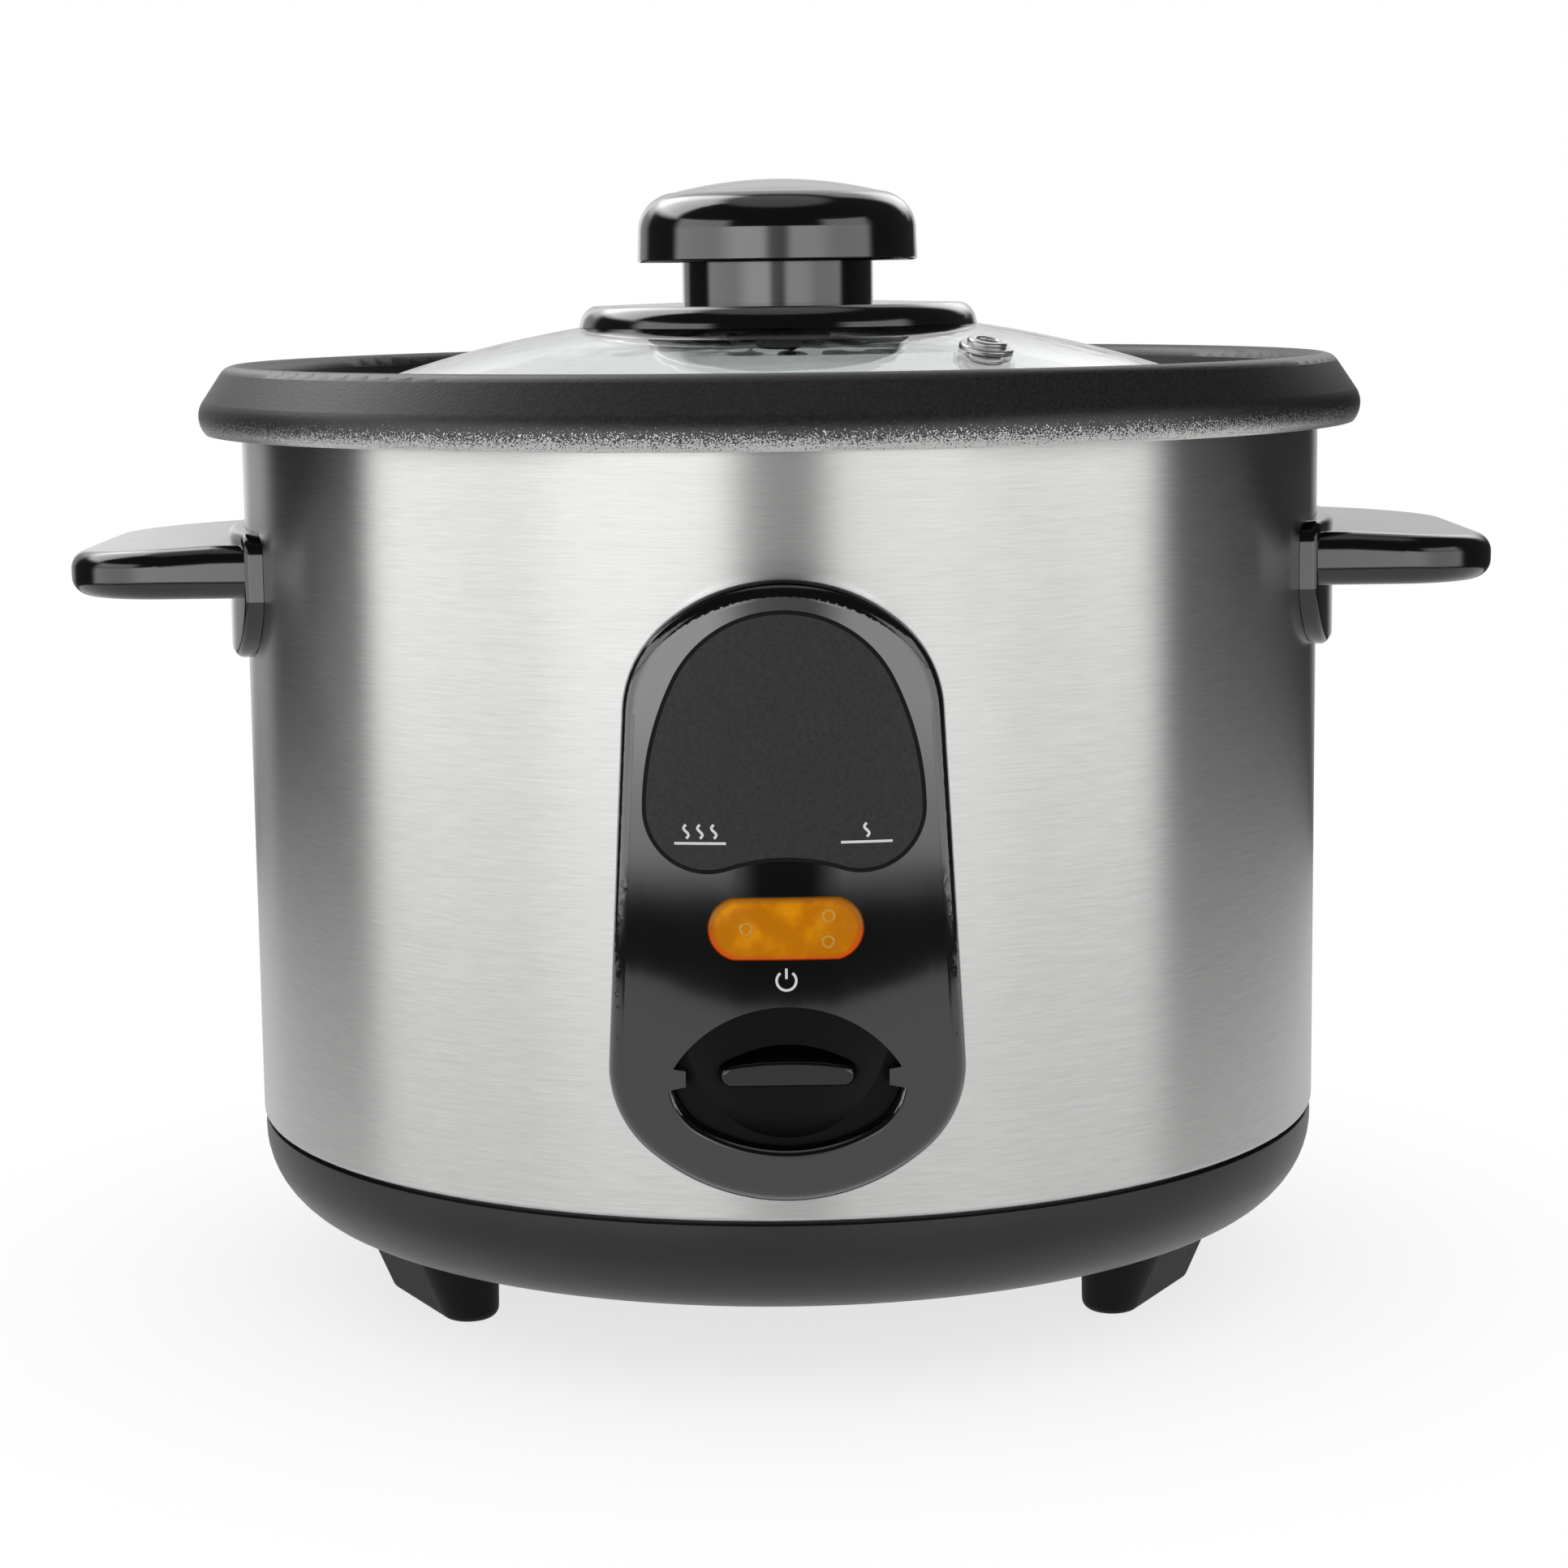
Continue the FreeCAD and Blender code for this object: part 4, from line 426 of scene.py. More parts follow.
@dataclass(frozen=True)
class PotFinish(Finish):
    """Drawn pot: dark coating inside and over the rim, speckled out to bare metal under the rim."""

    coat: float = 0.003
    coat_pale: float = 0.009
    metal_dark: Colour = (0.57, 0.57, 0.56, 1.0)
    metal_light: Colour = (0.69, 0.69, 0.68, 1.0)
    bare_below: float = 160.5
    full_above: float = 161.3
    rim_from: float = 98.0
    speckles_per_metre: float = 3800.0
    speckle_reach: float = 9.0
    grains_per_metre: float = 1700.0
    streaks: Tuple[float, float, float] = (60.0, 60.0, 5200.0)
    depth: float = 0.05

    def draw(self, graph: Graph) -> None:
        """Coating covers what faces inward or up, and on the rim a speckle lets it run out downward."""
        x, y, z = graph.place()
        radius = (x * x + y * y).root()
        normal = graph.add("ShaderNodeNewGeometry").outputs["Normal"]
        nx, ny, nz = graph.parts(normal)
        outward = (x * nx + y * ny) * 10.0
        inside = (nz * 0.6 - outward).rise(-0.05, 0.05)
        speckle = graph.noise(self.speckles_per_metre, 1.0) - 0.5
        ragged = z + speckle * (self.speckle_reach * MM)
        fade = ragged.rise(self.bare_below * MM, self.full_above * MM)
        cover = (fade * radius.rise(self.rim_from * MM, self.rim_from * MM + MM)).larger(inside)
        grain = graph.noise(self.grains_per_metre, 2.0)
        streak = graph.noise(self.streaks, 2.0)
        coat = graph.blend(grain.rise(0.35, 0.7), grey(self.coat), grey(self.coat_pale))
        metal = graph.blend(streak.rise(0.3, 0.7), self.metal_dark, self.metal_light)
        graph.surface({
            "Base Color": graph.blend(cover, metal, coat),
            "Metallic": 1.0 - cover,
            "Roughness": 0.36 + cover * 0.08 + (grain - 0.5) * 0.12,
            "Specular IOR Level": 0.8,
            "Normal": graph.bump(grain * cover + streak * 0.02, self.depth * MM, 0.8),
        })


@dataclass(frozen=True)
class ClearGlass(Finish):
    """Clear tempered glass, faintly green, with a little haze where it has been wiped."""

    tint: Colour = (0.94, 0.975, 0.96, 1.0)
    wipes: Tuple[float, float, float] = (40.0, 90.0, 40.0)

    def draw(self, graph: Graph) -> None:
        """Wiping marks change the roughness a little."""
        wipe = graph.noise(self.wipes, 4.0)
        graph.surface({
            "Base Color": self.tint,
            "Roughness": wipe.rise(0.45, 0.8) * 0.04,
            "IOR": 1.5,
            "Transmission Weight": 1.0,
        })


@dataclass(frozen=True)
class AmberPlastic(Finish):
    """Amber lens, cloudy inside, with a red lower edge, a brown upper edge and a painted glow in its own
    colour.
    """

    deep: Colour = (0.44, 0.14, 0.0, 1.0)
    bright: Colour = (0.62, 0.23, 0.0, 1.0)
    red: Colour = (0.52, 0.05, 0.0, 1.0)
    brown: Colour = (0.26, 0.08, 0.002, 1.0)
    middle: float = 82.6
    straight: float = 7.2
    end: float = 5.1
    turnover: float = 2.0
    clouds_per_metre: float = 190.0
    ripples_per_metre: float = 240.0
    depth: float = 0.05

    def draw(self, graph: Graph) -> None:
        """Clouds mix the ambers; the edge colours come in away from the lens's middle line; the same
        colour is also given out as emission, a painted glow.
        """
        x, _, z = graph.place()
        along = (x.size() - self.straight * MM).larger(0.0)
        up = z - self.middle * MM
        edge = ((along * along + up * up).root() * (1.0 / (self.end * MM))).rise(0.76, 1.0)
        cloud = graph.noise(self.clouds_per_metre, 3.0)
        amber = graph.blend(cloud.rise(0.4, 0.68), self.deep, self.bright)
        rim = graph.blend(up.rise(-self.turnover * MM, self.turnover * MM), self.red, self.brown)
        colour = graph.blend(edge * 0.9, amber, rim)
        ripple = graph.noise(self.ripples_per_metre, 2.0)
        graph.surface({
            "Base Color": colour,
            "Roughness": 0.12 + (cloud - 0.5) * 0.06,
            "Specular IOR Level": 0.25,
            # Painted glow: the lens's own colour is given out as light, brightening it though it is no
            # lamp.
            "Emission Color": colour,
            "Emission Strength": 0.3,
            "Normal": graph.bump(ripple, self.depth * MM, 0.6),
        })


@dataclass(frozen=True)
class Plain(Finish):
    """A plain dense material such as ceramic, rubber or sleeving, mottled and finely rough."""

    dark: Colour
    light: Colour
    roughness: float = 0.5
    per_metre: float = 1500.0
    depth: float = 0.03
    shine: float = 0.5

    def draw(self, graph: Graph) -> None:
        """Fine grain gives the bump, and clouds mottle the colour."""
        grain = graph.noise(self.per_metre, 2.0)
        cloud = graph.noise(120.0, 3.0)
        graph.surface({
            "Base Color": graph.blend((grain * 0.4 + cloud * 0.6).rise(0.3, 0.7), self.dark, self.light),
            "Roughness": self.roughness + (grain - 0.5) * 0.15,
            "Specular IOR Level": self.shine,
            "Normal": graph.bump(grain, self.depth * MM, 0.8),
        })


STEEL = BrushedSteel("brushed_steel_drum")
GLOSS = GlossPlastic("gloss_black_moulding")
KNOB_GLOSS = GlossPlastic("gloss_black_knob", 0.003, 0.1, 0.03, 0.8)
KEY = KeyPlastic("black_switch_key")
HANDLE_GLOSS = GlossPlastic("gloss_black_handle", 0.003, 0.13, 0.05, 0.3)
SATIN = SatinPlastic("satin_black_base")
INSERT = GrainedPlastic("grained_black_insert")
POT = PotFinish("coated_pot")
GLASS = ClearGlass("lid_glass_clear")
AMBER = AmberPlastic("amber_lens")
AMBER_RING = Plain(
    "pale_amber_ring", (0.6, 0.27, 0.01, 1.0), (0.72, 0.36, 0.03, 1.0), 0.15, 900.0, 0.005
)
CAST = TurnedAluminium("turned_aluminium")
LINER = Metal("rolled_liner_sheet", grey(0.5), grey(0.66), 0.38, (30.0, 30.0, 900.0))
ZINC = Metal("zinc_plated_steel", grey(0.45), grey(0.62), 0.3)
CHROME = Metal("satin_vent_plating", grey(0.5), grey(0.66), 0.34, (500.0, 500.0, 500.0), 0.006)
BRASS = Metal("stamped_brass", (0.55, 0.4, 0.17, 1.0), (0.78, 0.62, 0.32, 1.0), 0.25)
CERAMIC = Plain("unglazed_ceramic", (0.66, 0.63, 0.57, 1.0), (0.82, 0.8, 0.75, 1.0), 0.7)
RUBBER = Plain("black_rubber_foot", grey(0.002), grey(0.005), 0.6, 1200.0, 0.03, 0.15)
SINTER = Plain("sintered_ferrite", grey(0.035), grey(0.075), 0.6)
SILICONE = Plain("pale_silicone", grey(0.55), grey(0.68), 0.5)
SLEEVE = Plain("wire_sleeving", (0.55, 0.54, 0.5, 1.0), (0.7, 0.69, 0.64, 1.0), 0.55)
NYLON = SatinPlastic("natural_nylon", grey(0.6, 0.03), grey(0.74, 0.02), 0.42, 1800.0, 0.02)
LAMP = Plain("lamp_bulb", (0.75, 0.5, 0.28, 1.0), (0.9, 0.68, 0.42, 1.0), 0.15, 700.0, 0.005)
INK = Plain("white_ink", grey(0.74), grey(0.84), 0.45, 2500.0, 0.01)


def dress(finish: Finish, *nodes: str) -> None:
    """Give carried-over nodes a finish.

    Args:
        finish: The finish.
        nodes: The nodes that get it.
    """
    for name in nodes:
        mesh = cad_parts[name].data
        mesh.materials.clear()
        mesh.materials.append(finish.material())
        log.info("node %s is %s", name, finish.name)


def grid_piece(
    name: str, points: np.ndarray, finish: Finish, body: Body, endless: bool = False
) -> None:
    """Make a tube-like piece from a grid of points and put it on its body.

    A quad joins each point with its neighbours along both directions of the grid. The second direction is
    closed. The first is closed too where the piece is endless, and otherwise each end ring gets one face.

    Args:
        name: The piece's name.
        points: Array of rings by ring points by 3, in metres.
        finish: The piece's finish.
        body: The body that it rides on.
        endless: Whether the last ring is joined to the first.
    """
    rings, around, _ = points.shape
    index = np.arange(rings * around).reshape(rings, around)
    rows = np.concatenate([index, index[:1]]) if endless else index
    after = np.roll(rows, -1, axis=1)
    quads = np.stack([rows[:-1], after[:-1], after[1:], rows[1:]], axis=-1).reshape(-1, 4)
    ends = [] if endless else [index[0][::-1].tolist(), index[-1].tolist()]
    mesh = bpy.data.meshes.new(name)
    mesh.from_pydata(points.reshape(-1, 3).tolist(), [], quads.tolist() + ends)
    mesh.polygons.foreach_set("use_smooth", np.full(len(mesh.polygons), endless))
    mesh.materials.append(finish.material())
    piece = bpy.data.objects.new(name, mesh)
    bpy.context.scene.collection.objects.link(piece)
    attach(piece, body.value)
    log.info("piece %s rides on %s", name, body.value)


class Mark(Enum):
    """Plain signs printed on the panel."""

    HEAT = "heat"
    WARMTH = "warmth"
    POWER = "power"


def sign_strokes(mark: Mark) -> Sequence[np.ndarray]:
    """The strokes of a sign, each a row of points in a box one unit high about the origin.

    Heat is three waves of steam over a plate and warmth is one; each wave is a sine standing up, and the
    plate is a level line. A power sign is an open circle with a line in its gap.

    Args:
        mark: The sign.

    Returns:
        The strokes, each an array of points by 2.
    """
    along = np.linspace(0.0, 1.0, 33)
    if mark is Mark.POWER:
        gap = math.radians(38)
        turn = math.pi / 2 + gap + along * (2 * math.pi - 2 * gap)
        ring = np.stack([0.44 * np.cos(turn), 0.44 * np.sin(turn) - 0.06], axis=1)
        line = np.stack([np.zeros_like(along), 0.5 - 0.48 * along], axis=1)
        return [ring, line]
    shifts = (-0.7, 0.0, 0.7) if mark is Mark.HEAT else (0.0,)
    wave = 0.12 * np.sin(along * 2 * math.pi)
    waves = [np.stack([wave + shift, 0.7 * along - 0.2], axis=1) for shift in shifts]
    plate = np.stack([2.6 * along - 1.3, np.full_like(along, -0.45)], axis=1)
    return [*waves, plate]


def arc_between(start: Sequence[float], end: Sequence[float], radius: float, count: int) -> np.ndarray:
    """Points on a circle from start to end, turning left.

    The circle's middle lies left of the straight line between them.

    Args:
        start: First point.
        end: Last point.
        radius: The circle's radius.
        count: How many points.

    Returns:
        Array of points by 2.
    """
    first, last = np.array(start), np.array(end)
    half = (last - first) / 2
    aside = np.array([-half[1], half[0]]) / np.linalg.norm(half)
    middle = first + half + aside * math.sqrt(radius ** 2 - half @ half)
    turns = [math.atan2(*(point - middle)[::-1]) for point in (first, last)]
    sweep = (turns[1] - turns[0]) % (2 * math.pi)
    turn = turns[0] + np.linspace(0.0, sweep, count)
    return middle + radius * np.stack([np.cos(turn), np.sin(turn)], axis=1)


def right_of(path: np.ndarray, closed: bool = False) -> np.ndarray:
    """Unit vectors that point to the right of the way along a path.

    Args:
        path: Array of points by 2.
        closed: Whether the first point follows the last.

    Returns:
        Array of points by 2.
    """
    if closed:
        ahead = np.roll(path, -1, axis=0) - np.roll(path, 1, axis=0)
    else:
        ahead = np.gradient(path, axis=0)
    ahead = ahead / np.linalg.norm(ahead, axis=1, keepdims=True)
    return np.stack([ahead[:, 1], -ahead[:, 0]], axis=1)


def wrapped(flat: np.ndarray, radius: np.ndarray) -> np.ndarray:
    """Lay places in the front plane on upright drums.

    There y is minus the root of the radius squared less x squared.

    Args:
        flat: Array that ends in x and z, in millimetres.
        radius: Each drum's radius, in millimetres.

    Returns:
        Array that ends in x, y and z, in metres.
    """
    x, z = flat[..., 0], flat[..., 1]
    return np.stack([x, -np.sqrt(radius ** 2 - x ** 2), z], axis=-1) * MM


@dataclass
class Panel:
    """Front panel with its insert and painted seam shade, lens, lamps, screws, key opening's lip and
    printed signs.
    """

    face: float = 107.0
    lens_face: float = 107.6
    stroke: float = 0.42
    ink_height: float = 0.04
    ink_sunk: float = 0.02
    signs: Tuple[Tuple[str, Mark, float, float, float], ...] = (
        ("heat_sign", Mark.HEAT, -13.6, 98.0, 3.2),
        ("warmth_sign", Mark.WARMTH, 13.2, 98.0, 3.2),
        ("power_sign", Mark.POWER, 0.0, 74.3, 3.6),
    )
    ring_radius: float = 0.9
    ring_wire: float = 0.24
    ring_rise: float = 0.6
    ring_counts: Tuple[int, int] = (48, 16)
    rings: Tuple[Tuple[str, float, float], ...] = (
        ("left", -6.4, 82.7),
        ("upper", 6.9, 84.7),
        ("lower", 6.8, 80.5),
    )
    eye_mid: Tuple[float, float] = (19.4, 55.7)
    eye_low: Tuple[float, float] = (14.5, 48.4)
    eye_corner: float = 9.6
    eye_low_arc: float = 30.0
    lip_back: float = 104.95
    lip_width: float = 1.5
    lip_sunk: float = 0.05
    lip_root: float = 0.1
    lip_ends: Tuple[float, float] = (0.04, 0.96)
    lip_taper: float = 0.3
    lip_counts: Tuple[int, int] = (24, 60)
    lip_steps: int = 9
    crown_end: Tuple[float, float] = (17.46, 122.78)
    side_end: Tuple[float, float] = (22.476, 102.16)
    corner_end: Tuple[float, float] = (9.358, 92.503)
    crown_arc: float = 19.5
    side_arc: float = 48.0
    corner_arc: float = 10.0
    wave_arc: float = 30.0
    seam_shade_half: float = 0.34
    seam_shade_height: float = 0.05
    seam_shade_offset: float = 0.12
    seam_shade_counts: Tuple[int, int, int] = (80, 40, 12)

    def print_sign(self, name: str, mark: Mark, x: float, z: float, height: float) -> None:
        """Print one sign on the panel.

        Each stroke is a flat band: a rectangle of the stroke's width and the ink's height carried along
        the stroke and wrapped on the panel's face.

        Args:
            name: The piece's name.
            mark: The sign.
            x: Its middle across the panel, in millimetres.
            z: Its middle height, in millimetres.
            height: Its height, in millimetres.
        """
        lift = self.face + np.array([-self.ink_sunk, -self.ink_sunk, self.ink_height, self.ink_height])
        for number, stroke in enumerate(sign_strokes(mark)):
            path = stroke * height + np.array([x, z])
            side = right_of(path) * (self.stroke / 2)
            across = np.stack([path + side, path - side, path - side, path + side], axis=1)
            points = wrapped(across, lift)
            grid_piece(f"{name}_{number}", points, INK, Body.HOUSING)

    def mould_ring(self, name: str, x: float, z: float) -> None:
        """One small ring moulded on the lens: a circle carried round a circle, standing on the lens face.

        Args:
            name: The piece's name.
            x: Its middle across the panel, in millimetres.
            z: Its middle height, in millimetres.
        """
        around, across = self.ring_counts
        turn = np.linspace(0.0, 2 * math.pi, around, endpoint=False)[:, None]
        spin = np.linspace(0.0, 2 * math.pi, across, endpoint=False)[None, :]
        reach = self.ring_radius + self.ring_wire * np.cos(spin)
        px = x + reach * np.cos(turn)
        pz = z + reach * np.sin(turn)
        py = -np.sqrt(self.lens_face ** 2 - px ** 2) - self.ring_wire * self.ring_rise * np.sin(spin)
        points = np.stack([px, py, pz], axis=-1) * MM
        grid_piece(name, points[:, ::-1], AMBER_RING, Body.HOUSING, True)

    def shape_lip(self) -> None:
        """Sloped lip along the lower edge of the key's opening.

        Its path is the opening's two corner arcs and its lower arc. Its section is a quarter of an
        ellipse from the panel's face at the edge to the wall's back further in, closed behind. Its width
        runs out towards both ends as a power of a sine.
        """
        mid, low, flip = np.array(self.eye_mid), np.array(self.eye_low), np.array([-1.0, 1.0])
        corner_count, low_count = self.lip_counts
        path = np.concatenate([
            arc_between(mid * flip, low * flip, self.eye_corner, corner_count)[:-1],
            arc_between(low * flip, low, self.eye_low_arc, low_count)[:-1],
            arc_between(low, mid, self.eye_corner, corner_count),
        ])
        along = np.linspace(*self.lip_ends, len(path))
        width = self.lip_width * np.sin(along * math.pi) ** self.lip_taper
        inward = -right_of(path) * width[:, None]
        bow = np.linspace(0.0, math.pi / 2, self.lip_steps)
        reach = np.concatenate([np.sin(bow), [-self.lip_root, -self.lip_root]])
        share = np.concatenate([np.cos(bow), [0.0, 1.0]])
        depth = self.lip_back + (self.face - self.lip_sunk - self.lip_back) * share
        points = wrapped(path[:, None, :] + inward[:, None, :] * reach[None, :, None], depth)
        grid_piece("key_opening_lip", points[:, ::-1], GLOSS, Body.HOUSING)

    def paint_seam_shade(self) -> None:
        """Painted shade over the seam round the insert: a dark band where the seam's groove would lie in
        shade.

        Its path is the insert's outline: an arc over the top, a flat arc down each side, a corner arc
        and a wave below. A low ellipse is carried along the path just outside it and wrapped on the
        panel's face.
        """
        crown, side, corner = (np.array(end) for end in (self.crown_end, self.side_end, self.corner_end))
        flip = np.array([-1.0, 1.0])
        top_count, side_count, around = self.seam_shade_counts
        path = np.concatenate([
            arc_between(crown, crown * flip, self.crown_arc, top_count)[:-1],
            arc_between(crown * flip, side * flip, self.side_arc, side_count)[:-1],
            arc_between(side * flip, corner * flip, self.corner_arc, side_count)[:-1],
            arc_between(corner, corner * flip, self.wave_arc, side_count)[:0:-1],
            arc_between(corner, side, self.corner_arc, side_count)[:-1],
            arc_between(side, crown, self.side_arc, side_count)[:-1],
        ])
        outward = right_of(path, closed=True)
        spin = np.linspace(0.0, 2 * math.pi, around, endpoint=False)
        reach = self.seam_shade_offset + self.seam_shade_half * np.cos(spin)
        lift = self.face + self.seam_shade_height * np.sin(spin)
        points = wrapped(path[:, None, :] + outward[:, None, :] * reach[None, :, None], lift)
        # Painted shade: the dark band stands in for the shade in the seam's groove.
        grid_piece("insert_seam_painted_shade", points[:, ::-1], RUBBER, Body.HOUSING, True)

    def build(self) -> None:
        """Dress the panel and add what is printed and moulded on it."""
        dress(GLOSS, "control_panel")
        dress(INSERT, "panel_insert")
        dress(AMBER, "indicator_lens")
        dress(LAMP, "cook_lamp", "warm_lamp")
        dress(NYLON, "lamp_holder")
        dress(ZINC, "panel_screws")
        for sign in self.signs:
            self.print_sign(*sign)
        self.shape_lip()
        self.paint_seam_shade()
        for name, x, z in self.rings:
            self.mould_ring("lens_ring_" + name, x, z)


@dataclass
class Drum:
    """Steel drum, its liner, the base with its screws, and the two handles."""

    def build(self) -> None:
        """Dress the housing."""
        dress(STEEL, "outer_shell")
        dress(LINER, "inner_liner")
        dress(SATIN, "base")
        dress(RUBBER, "feet")
        dress(HANDLE_GLOSS, "right_handle", "left_handle")
        dress(ZINC, "handle_screws", "base_screws", "plate_posts")


@dataclass
class Lid:
    """Glass lid with its vent, knob and fixings."""

    def build(self) -> None:
        """Dress the lid."""
        dress(GLASS, "lid_glass")
        dress(KNOB_GLOSS, "lid_knob", "knob_collar")
        dress(CHROME, "steam_vent")
        dress(SILICONE, "vent_seal", "knob_washer")
        dress(ZINC, "knob_screw")


@dataclass
class Works:
    """Pot, heater, sensor, switch gear and wiring."""

    def build(self) -> None:
        """Dress what stands or works inside the drum."""
        dress(POT, "inner_pot")
        dress(CAST, "heating_plate", "sensor_cap")
        dress(ZINC, "heating_element", "thermostat_cup", "magnet_rod", "switch_lever", "lever_bracket")
        dress(ZINC, "lever_pin", "sensor_spring", "thermal_fuse")
        dress(BRASS, "moving_contact", "fixed_contact", "inlet_pins")
        dress(NYLON, "contact_pusher", "contact_block")
        dress(CERAMIC, "element_terminals")
        dress(SINTER, "magnet", "ferrite")
        dress(SATIN, "power_inlet")
        dress(SLEEVE, "leads")
        dress(KEY, "switch_key")


@dataclass(frozen=True)
class Window:
    """A soft-edged patch of light on the surround.

    Angles are in degrees, seen from the object: turn is nought towards the camera and positive to its
    right, and low and high are above level.
    """

    turn: float
    half: float
    low: float
    high: float
    level: float
    blur: float = 10.0
    side_blur: float = 10.0

    def glow(self, turns: np.ndarray, rises: np.ndarray) -> np.ndarray:
        """Light at each turn and rise: full inside the window, running out smoothly across its edges."""
        aside = np.abs((turns - self.turn + 180.0) % 360.0 - 180.0)
        upright = np.minimum(rises - self.low, self.high - rises) / self.blur
        share = np.clip(np.minimum((self.half - aside) / self.side_blur, upright) + 0.5, 0.0, 1.0)
        return self.level * share * share * (3.0 - 2.0 * share)


@dataclass
class Surround:
    """Dim tent with soft windows, which only reflections show.

    It lies on the table first, where the radius is its middle's height over the tangent of the angle
    down. The table is pale up to an edge that is near in front and further off at the sides. Further out
    the tent is a sphere about the object's middle.
    """

    middle: float = 0.1
    reach: float = 1.6
    table_start: float = 0.112
    table: float = 0.72
    near_edge: float = 0.43
    side_edge: float = 0.49
    edge_turns: Tuple[float, float] = (8.0, 32.0)
    edge_gap: float = 0.3
    lift: float = 0.002
    dim: float = 0.04
    turn_count: int = 241
    table_count: int = 40
    table_step: int = 13
    rise_count: int = 120
    windows: Tuple[Window, ...] = (
        Window(-50.0, 41.0, -9.2, 10.5, 1.75, 2.0, 9.0),
        Window(-22.0, 20.0, -6.5, 10.0, 1.1, 3.0, 24.0),
        Window(-66.0, 25.0, 12.0, 28.0, 1.5, 4.0, 12.0),
        Window(45.0, 36.0, -9.2, 10.5, 1.55, 2.0, 9.0),
        Window(22.0, 18.0, -6.5, 10.0, 0.8, 3.0, 24.0),
        Window(60.0, 21.0, 12.0, 28.0, 1.3, 4.0, 12.0),
        Window(-128.0, 30.0, 28.0, 66.0, 3.0),
        Window(-150.0, 16.0, -8.0, 26.0, 0.4),
        Window(156.0, 12.0, 14.0, 40.0, 1.0),
        Window(180.0, 24.0, -14.0, 20.0, 0.62),
        Window(180.0, 40.0, 20.0, 60.0, 0.88),
        Window(0.0, 190.0, 68.0, 120.0, 0.5),
    )

    def points(self) -> Tuple[np.ndarray, np.ndarray]:
        """Places on the tent and the light there, as arrays of turns by rises by 3 and by 4."""
        table_edge = -math.degrees(math.asin(self.middle / self.reach))
        turns = np.linspace(-180.0, 180.0, self.turn_count)[:, None]
        aside = np.clip(np.interp(np.abs(turns), self.edge_turns, (0.0, 1.0)), 0.0, 1.0)
        near = self.near_edge + (self.side_edge - self.near_edge) * aside
        share = np.linspace(0.0, 1.0, self.table_count)[None, :]
        start = -math.degrees(math.atan(self.middle / self.table_start))
        low = -np.degrees(np.arctan(self.middle / near))
        pale = start + (low - self.edge_gap - start) * share[:, ::self.table_step]
        high = np.tile(np.linspace(table_edge, 90.0, self.rise_count)[1:], (turns.size, 1))
        rises = np.concatenate([pale, low + (table_edge - low) * share, high], axis=1)
        turns = np.broadcast_to(turns, rises.shape)
        lean = np.radians(rises)
        flat = rises <= table_edge
        radius = np.where(flat, self.middle / np.tan(np.abs(lean) + 1e-9), self.reach * np.cos(lean))
        height = np.where(flat, 0.0, self.middle + self.reach * np.sin(lean)) + self.lift
        angle = np.radians(turns)
        places = np.stack([radius * np.sin(angle), -radius * np.cos(angle), height], axis=-1)
        light = self.dim + sum(window.glow(turns, rises) for window in self.windows)
        light[:, :pale.shape[1]] = self.table
        return places, np.stack([light, light, light, np.ones_like(light)], axis=-1)


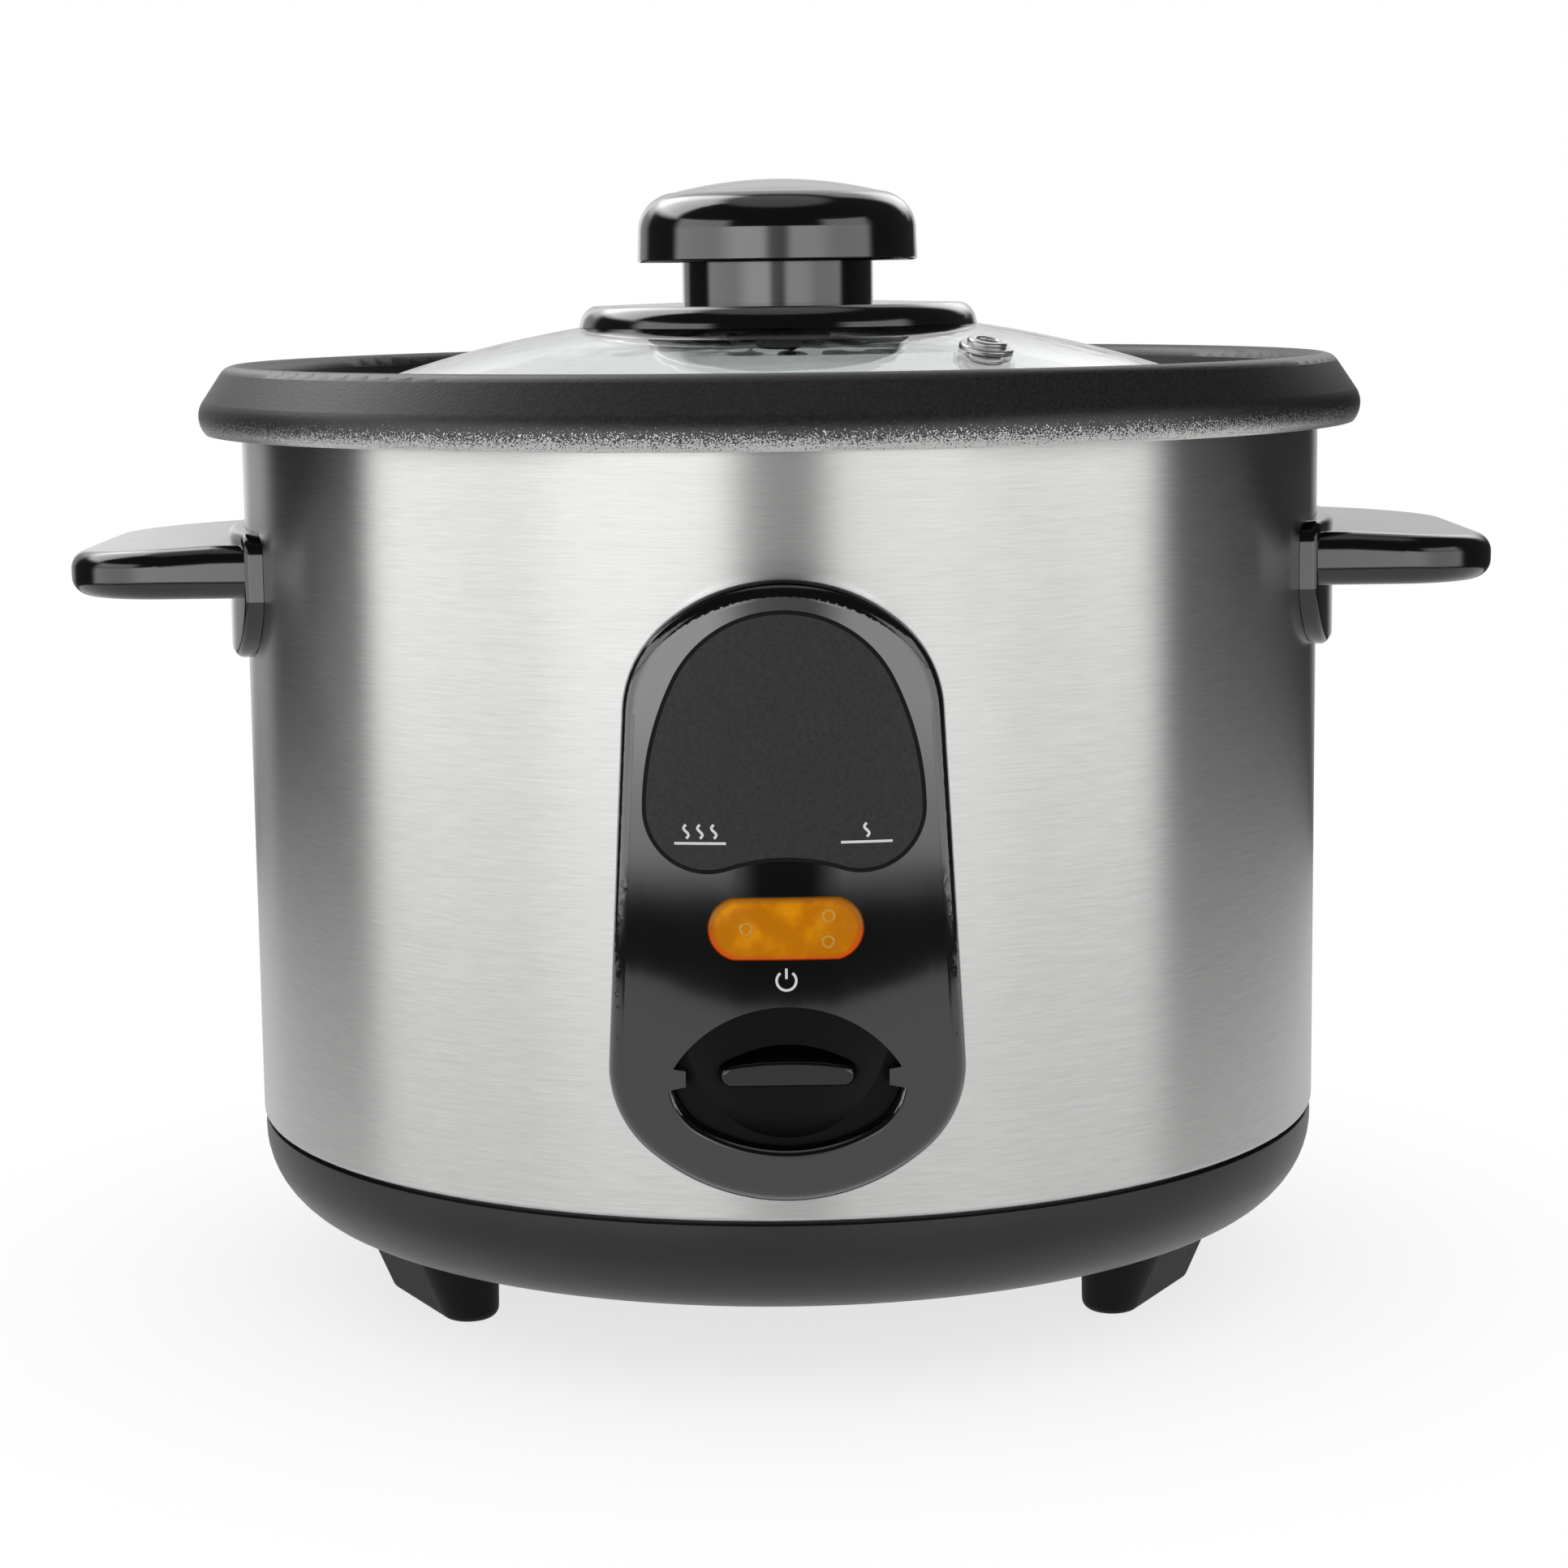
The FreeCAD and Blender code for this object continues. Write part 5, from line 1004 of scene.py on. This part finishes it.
@dataclass
class Studio:
    """White studio: pale floor, even soft light, a tent that only reflections show, and the camera."""

    eye: Tuple[float, float, float] = (0.0, -0.6611, 0.1877)
    pitch: float = 8.37
    roll: float = -0.72
    lens: float = 80.38
    sensor: float = 36.0
    fill: float = 0.8
    floor_tone: float = 0.9
    floor_half: float = 6.0
    shadow_from: float = 0.05
    shadow_to: float = 0.19
    shadow_glow: float = 0.75

    def camera(self) -> None:
        """Set the camera: it looks along +Y, tilted down by pitch and turned about its view by roll."""
        down = math.radians(self.pitch)
        lean = math.radians(self.roll)
        ahead = Vector((0.0, math.cos(down), -math.sin(down)))
        level = Vector((1.0, 0.0, 0.0))
        top = level.cross(ahead)
        right = level * math.cos(lean) + top * math.sin(lean)
        up = top * math.cos(lean) - level * math.sin(lean)
        data = bpy.data.cameras.new("camera")
        data.lens = self.lens
        data.sensor_width = self.sensor
        data.clip_start = 0.01
        camera = bpy.data.objects.new("camera", data)
        turn = Matrix((right, up, -ahead)).transposed().to_4x4()
        camera.matrix_world = Matrix.Translation(self.eye) @ turn
        bpy.context.scene.collection.objects.link(camera)
        bpy.context.scene.camera = camera

    def seen(self, graph: Graph) -> Value:
        """One for rays from the camera, mirror rays and rays through glass, and zero for the rest."""
        path = graph.add("ShaderNodeLightPath").outputs
        camera = Value(graph, path["Is Camera Ray"])
        mirrored = Value(graph, path["Is Glossy Ray"])
        return camera.larger(mirrored).larger(Value(graph, path["Is Transmission Ray"]))

    def world(self) -> None:
        """White where it is seen, and a soft even fill where it only lights."""
        world = bpy.data.worlds.new("studio")
        bpy.context.scene.world = world
        graph = Graph(world)
        strength = self.seen(graph) * (1.0 - self.fill) + self.fill
        background = graph.add("ShaderNodeBackground", {}, {"Color": WHITE, "Strength": strength})
        graph.add("ShaderNodeOutputWorld", {}, {"Surface": background.outputs[0]})

    def stage(self, name: str, points: np.ndarray, material: bpy.types.Material) -> bpy.types.Object:
        """A stage piece from a grid of points.

        Args:
            name: The piece's name.
            points: Array of rows by row points by 3, in metres.
            material: Its material.

        Returns:
            The piece.
        """
        rows, across, _ = points.shape
        index = np.arange(rows * across).reshape(rows, across)
        quads = np.stack([index[:-1, :-1], index[1:, :-1], index[1:, 1:], index[:-1, 1:]], axis=-1)
        mesh = bpy.data.meshes.new(name)
        mesh.from_pydata(points.reshape(-1, 3).tolist(), [], quads.reshape(-1, 4).tolist())
        mesh.materials.append(material)
        piece = bpy.data.objects.new(name, mesh)
        bpy.context.scene.collection.objects.link(piece)
        return piece

    def surround(self) -> None:
        """Put up the tent, which neither lights nor shades anything and shows in reflections only."""
        places, light = Surround().points()
        material = bpy.data.materials.new("surround_glow")
        graph = Graph(material)
        stored = graph.add("ShaderNodeAttribute", {"attribute_name": "glow"}).outputs["Color"]
        glow = graph.add("ShaderNodeEmission", {}, {"Color": stored, "Strength": 1.0})
        graph.add("ShaderNodeOutputMaterial", {}, {"Surface": glow.outputs[0]})
        piece = self.stage("surround", places, material)
        layer = piece.data.attributes.new("glow", "FLOAT_COLOR", "POINT")
        layer.data.foreach_set("color", light.ravel())
        piece.visible_camera = False
        piece.visible_diffuse = False
        piece.visible_transmission = False
        piece.visible_shadow = False

    def floor(self) -> None:
        """Pale floor that keeps the shadow near the object and runs out to white further off."""
        material = bpy.data.materials.new("pale_floor")
        graph = Graph(material)
        x, y, _ = graph.place()
        far = (x * x + y * y).root().rise(self.shadow_from, self.shadow_to)
        show = self.seen(graph) * (far * (1.0 - self.shadow_glow) + self.shadow_glow)
        matt = graph.add("ShaderNodeBsdfDiffuse", {}, {"Color": grey(self.floor_tone)})
        glow = graph.add("ShaderNodeEmission", {}, {"Color": WHITE, "Strength": 1.0})
        mixed = graph.add("ShaderNodeMixShader", {}, {0: show, 1: matt.outputs[0], 2: glow.outputs[0]})
        graph.add("ShaderNodeOutputMaterial", {}, {"Surface": mixed.outputs[0]})
        reach = np.array([-self.floor_half, self.floor_half])
        x, y = np.meshgrid(reach, reach, indexing="ij")
        self.stage("floor", np.stack([x, y, 0.0 * x], axis=-1), material)

    def build(self) -> None:
        """Build the studio."""
        self.camera()
        self.world()
        self.floor()
        self.surround()


def main() -> None:
    """Build the looks."""
    logging.basicConfig(level=logging.INFO, format="%(message)s")
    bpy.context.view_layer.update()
    for part in (Studio(), Drum(), Panel(), Lid(), Works()):
        part.build()
    bpy.context.scene.view_settings.view_transform = "Standard"


if __name__ == "__main__":
    main()
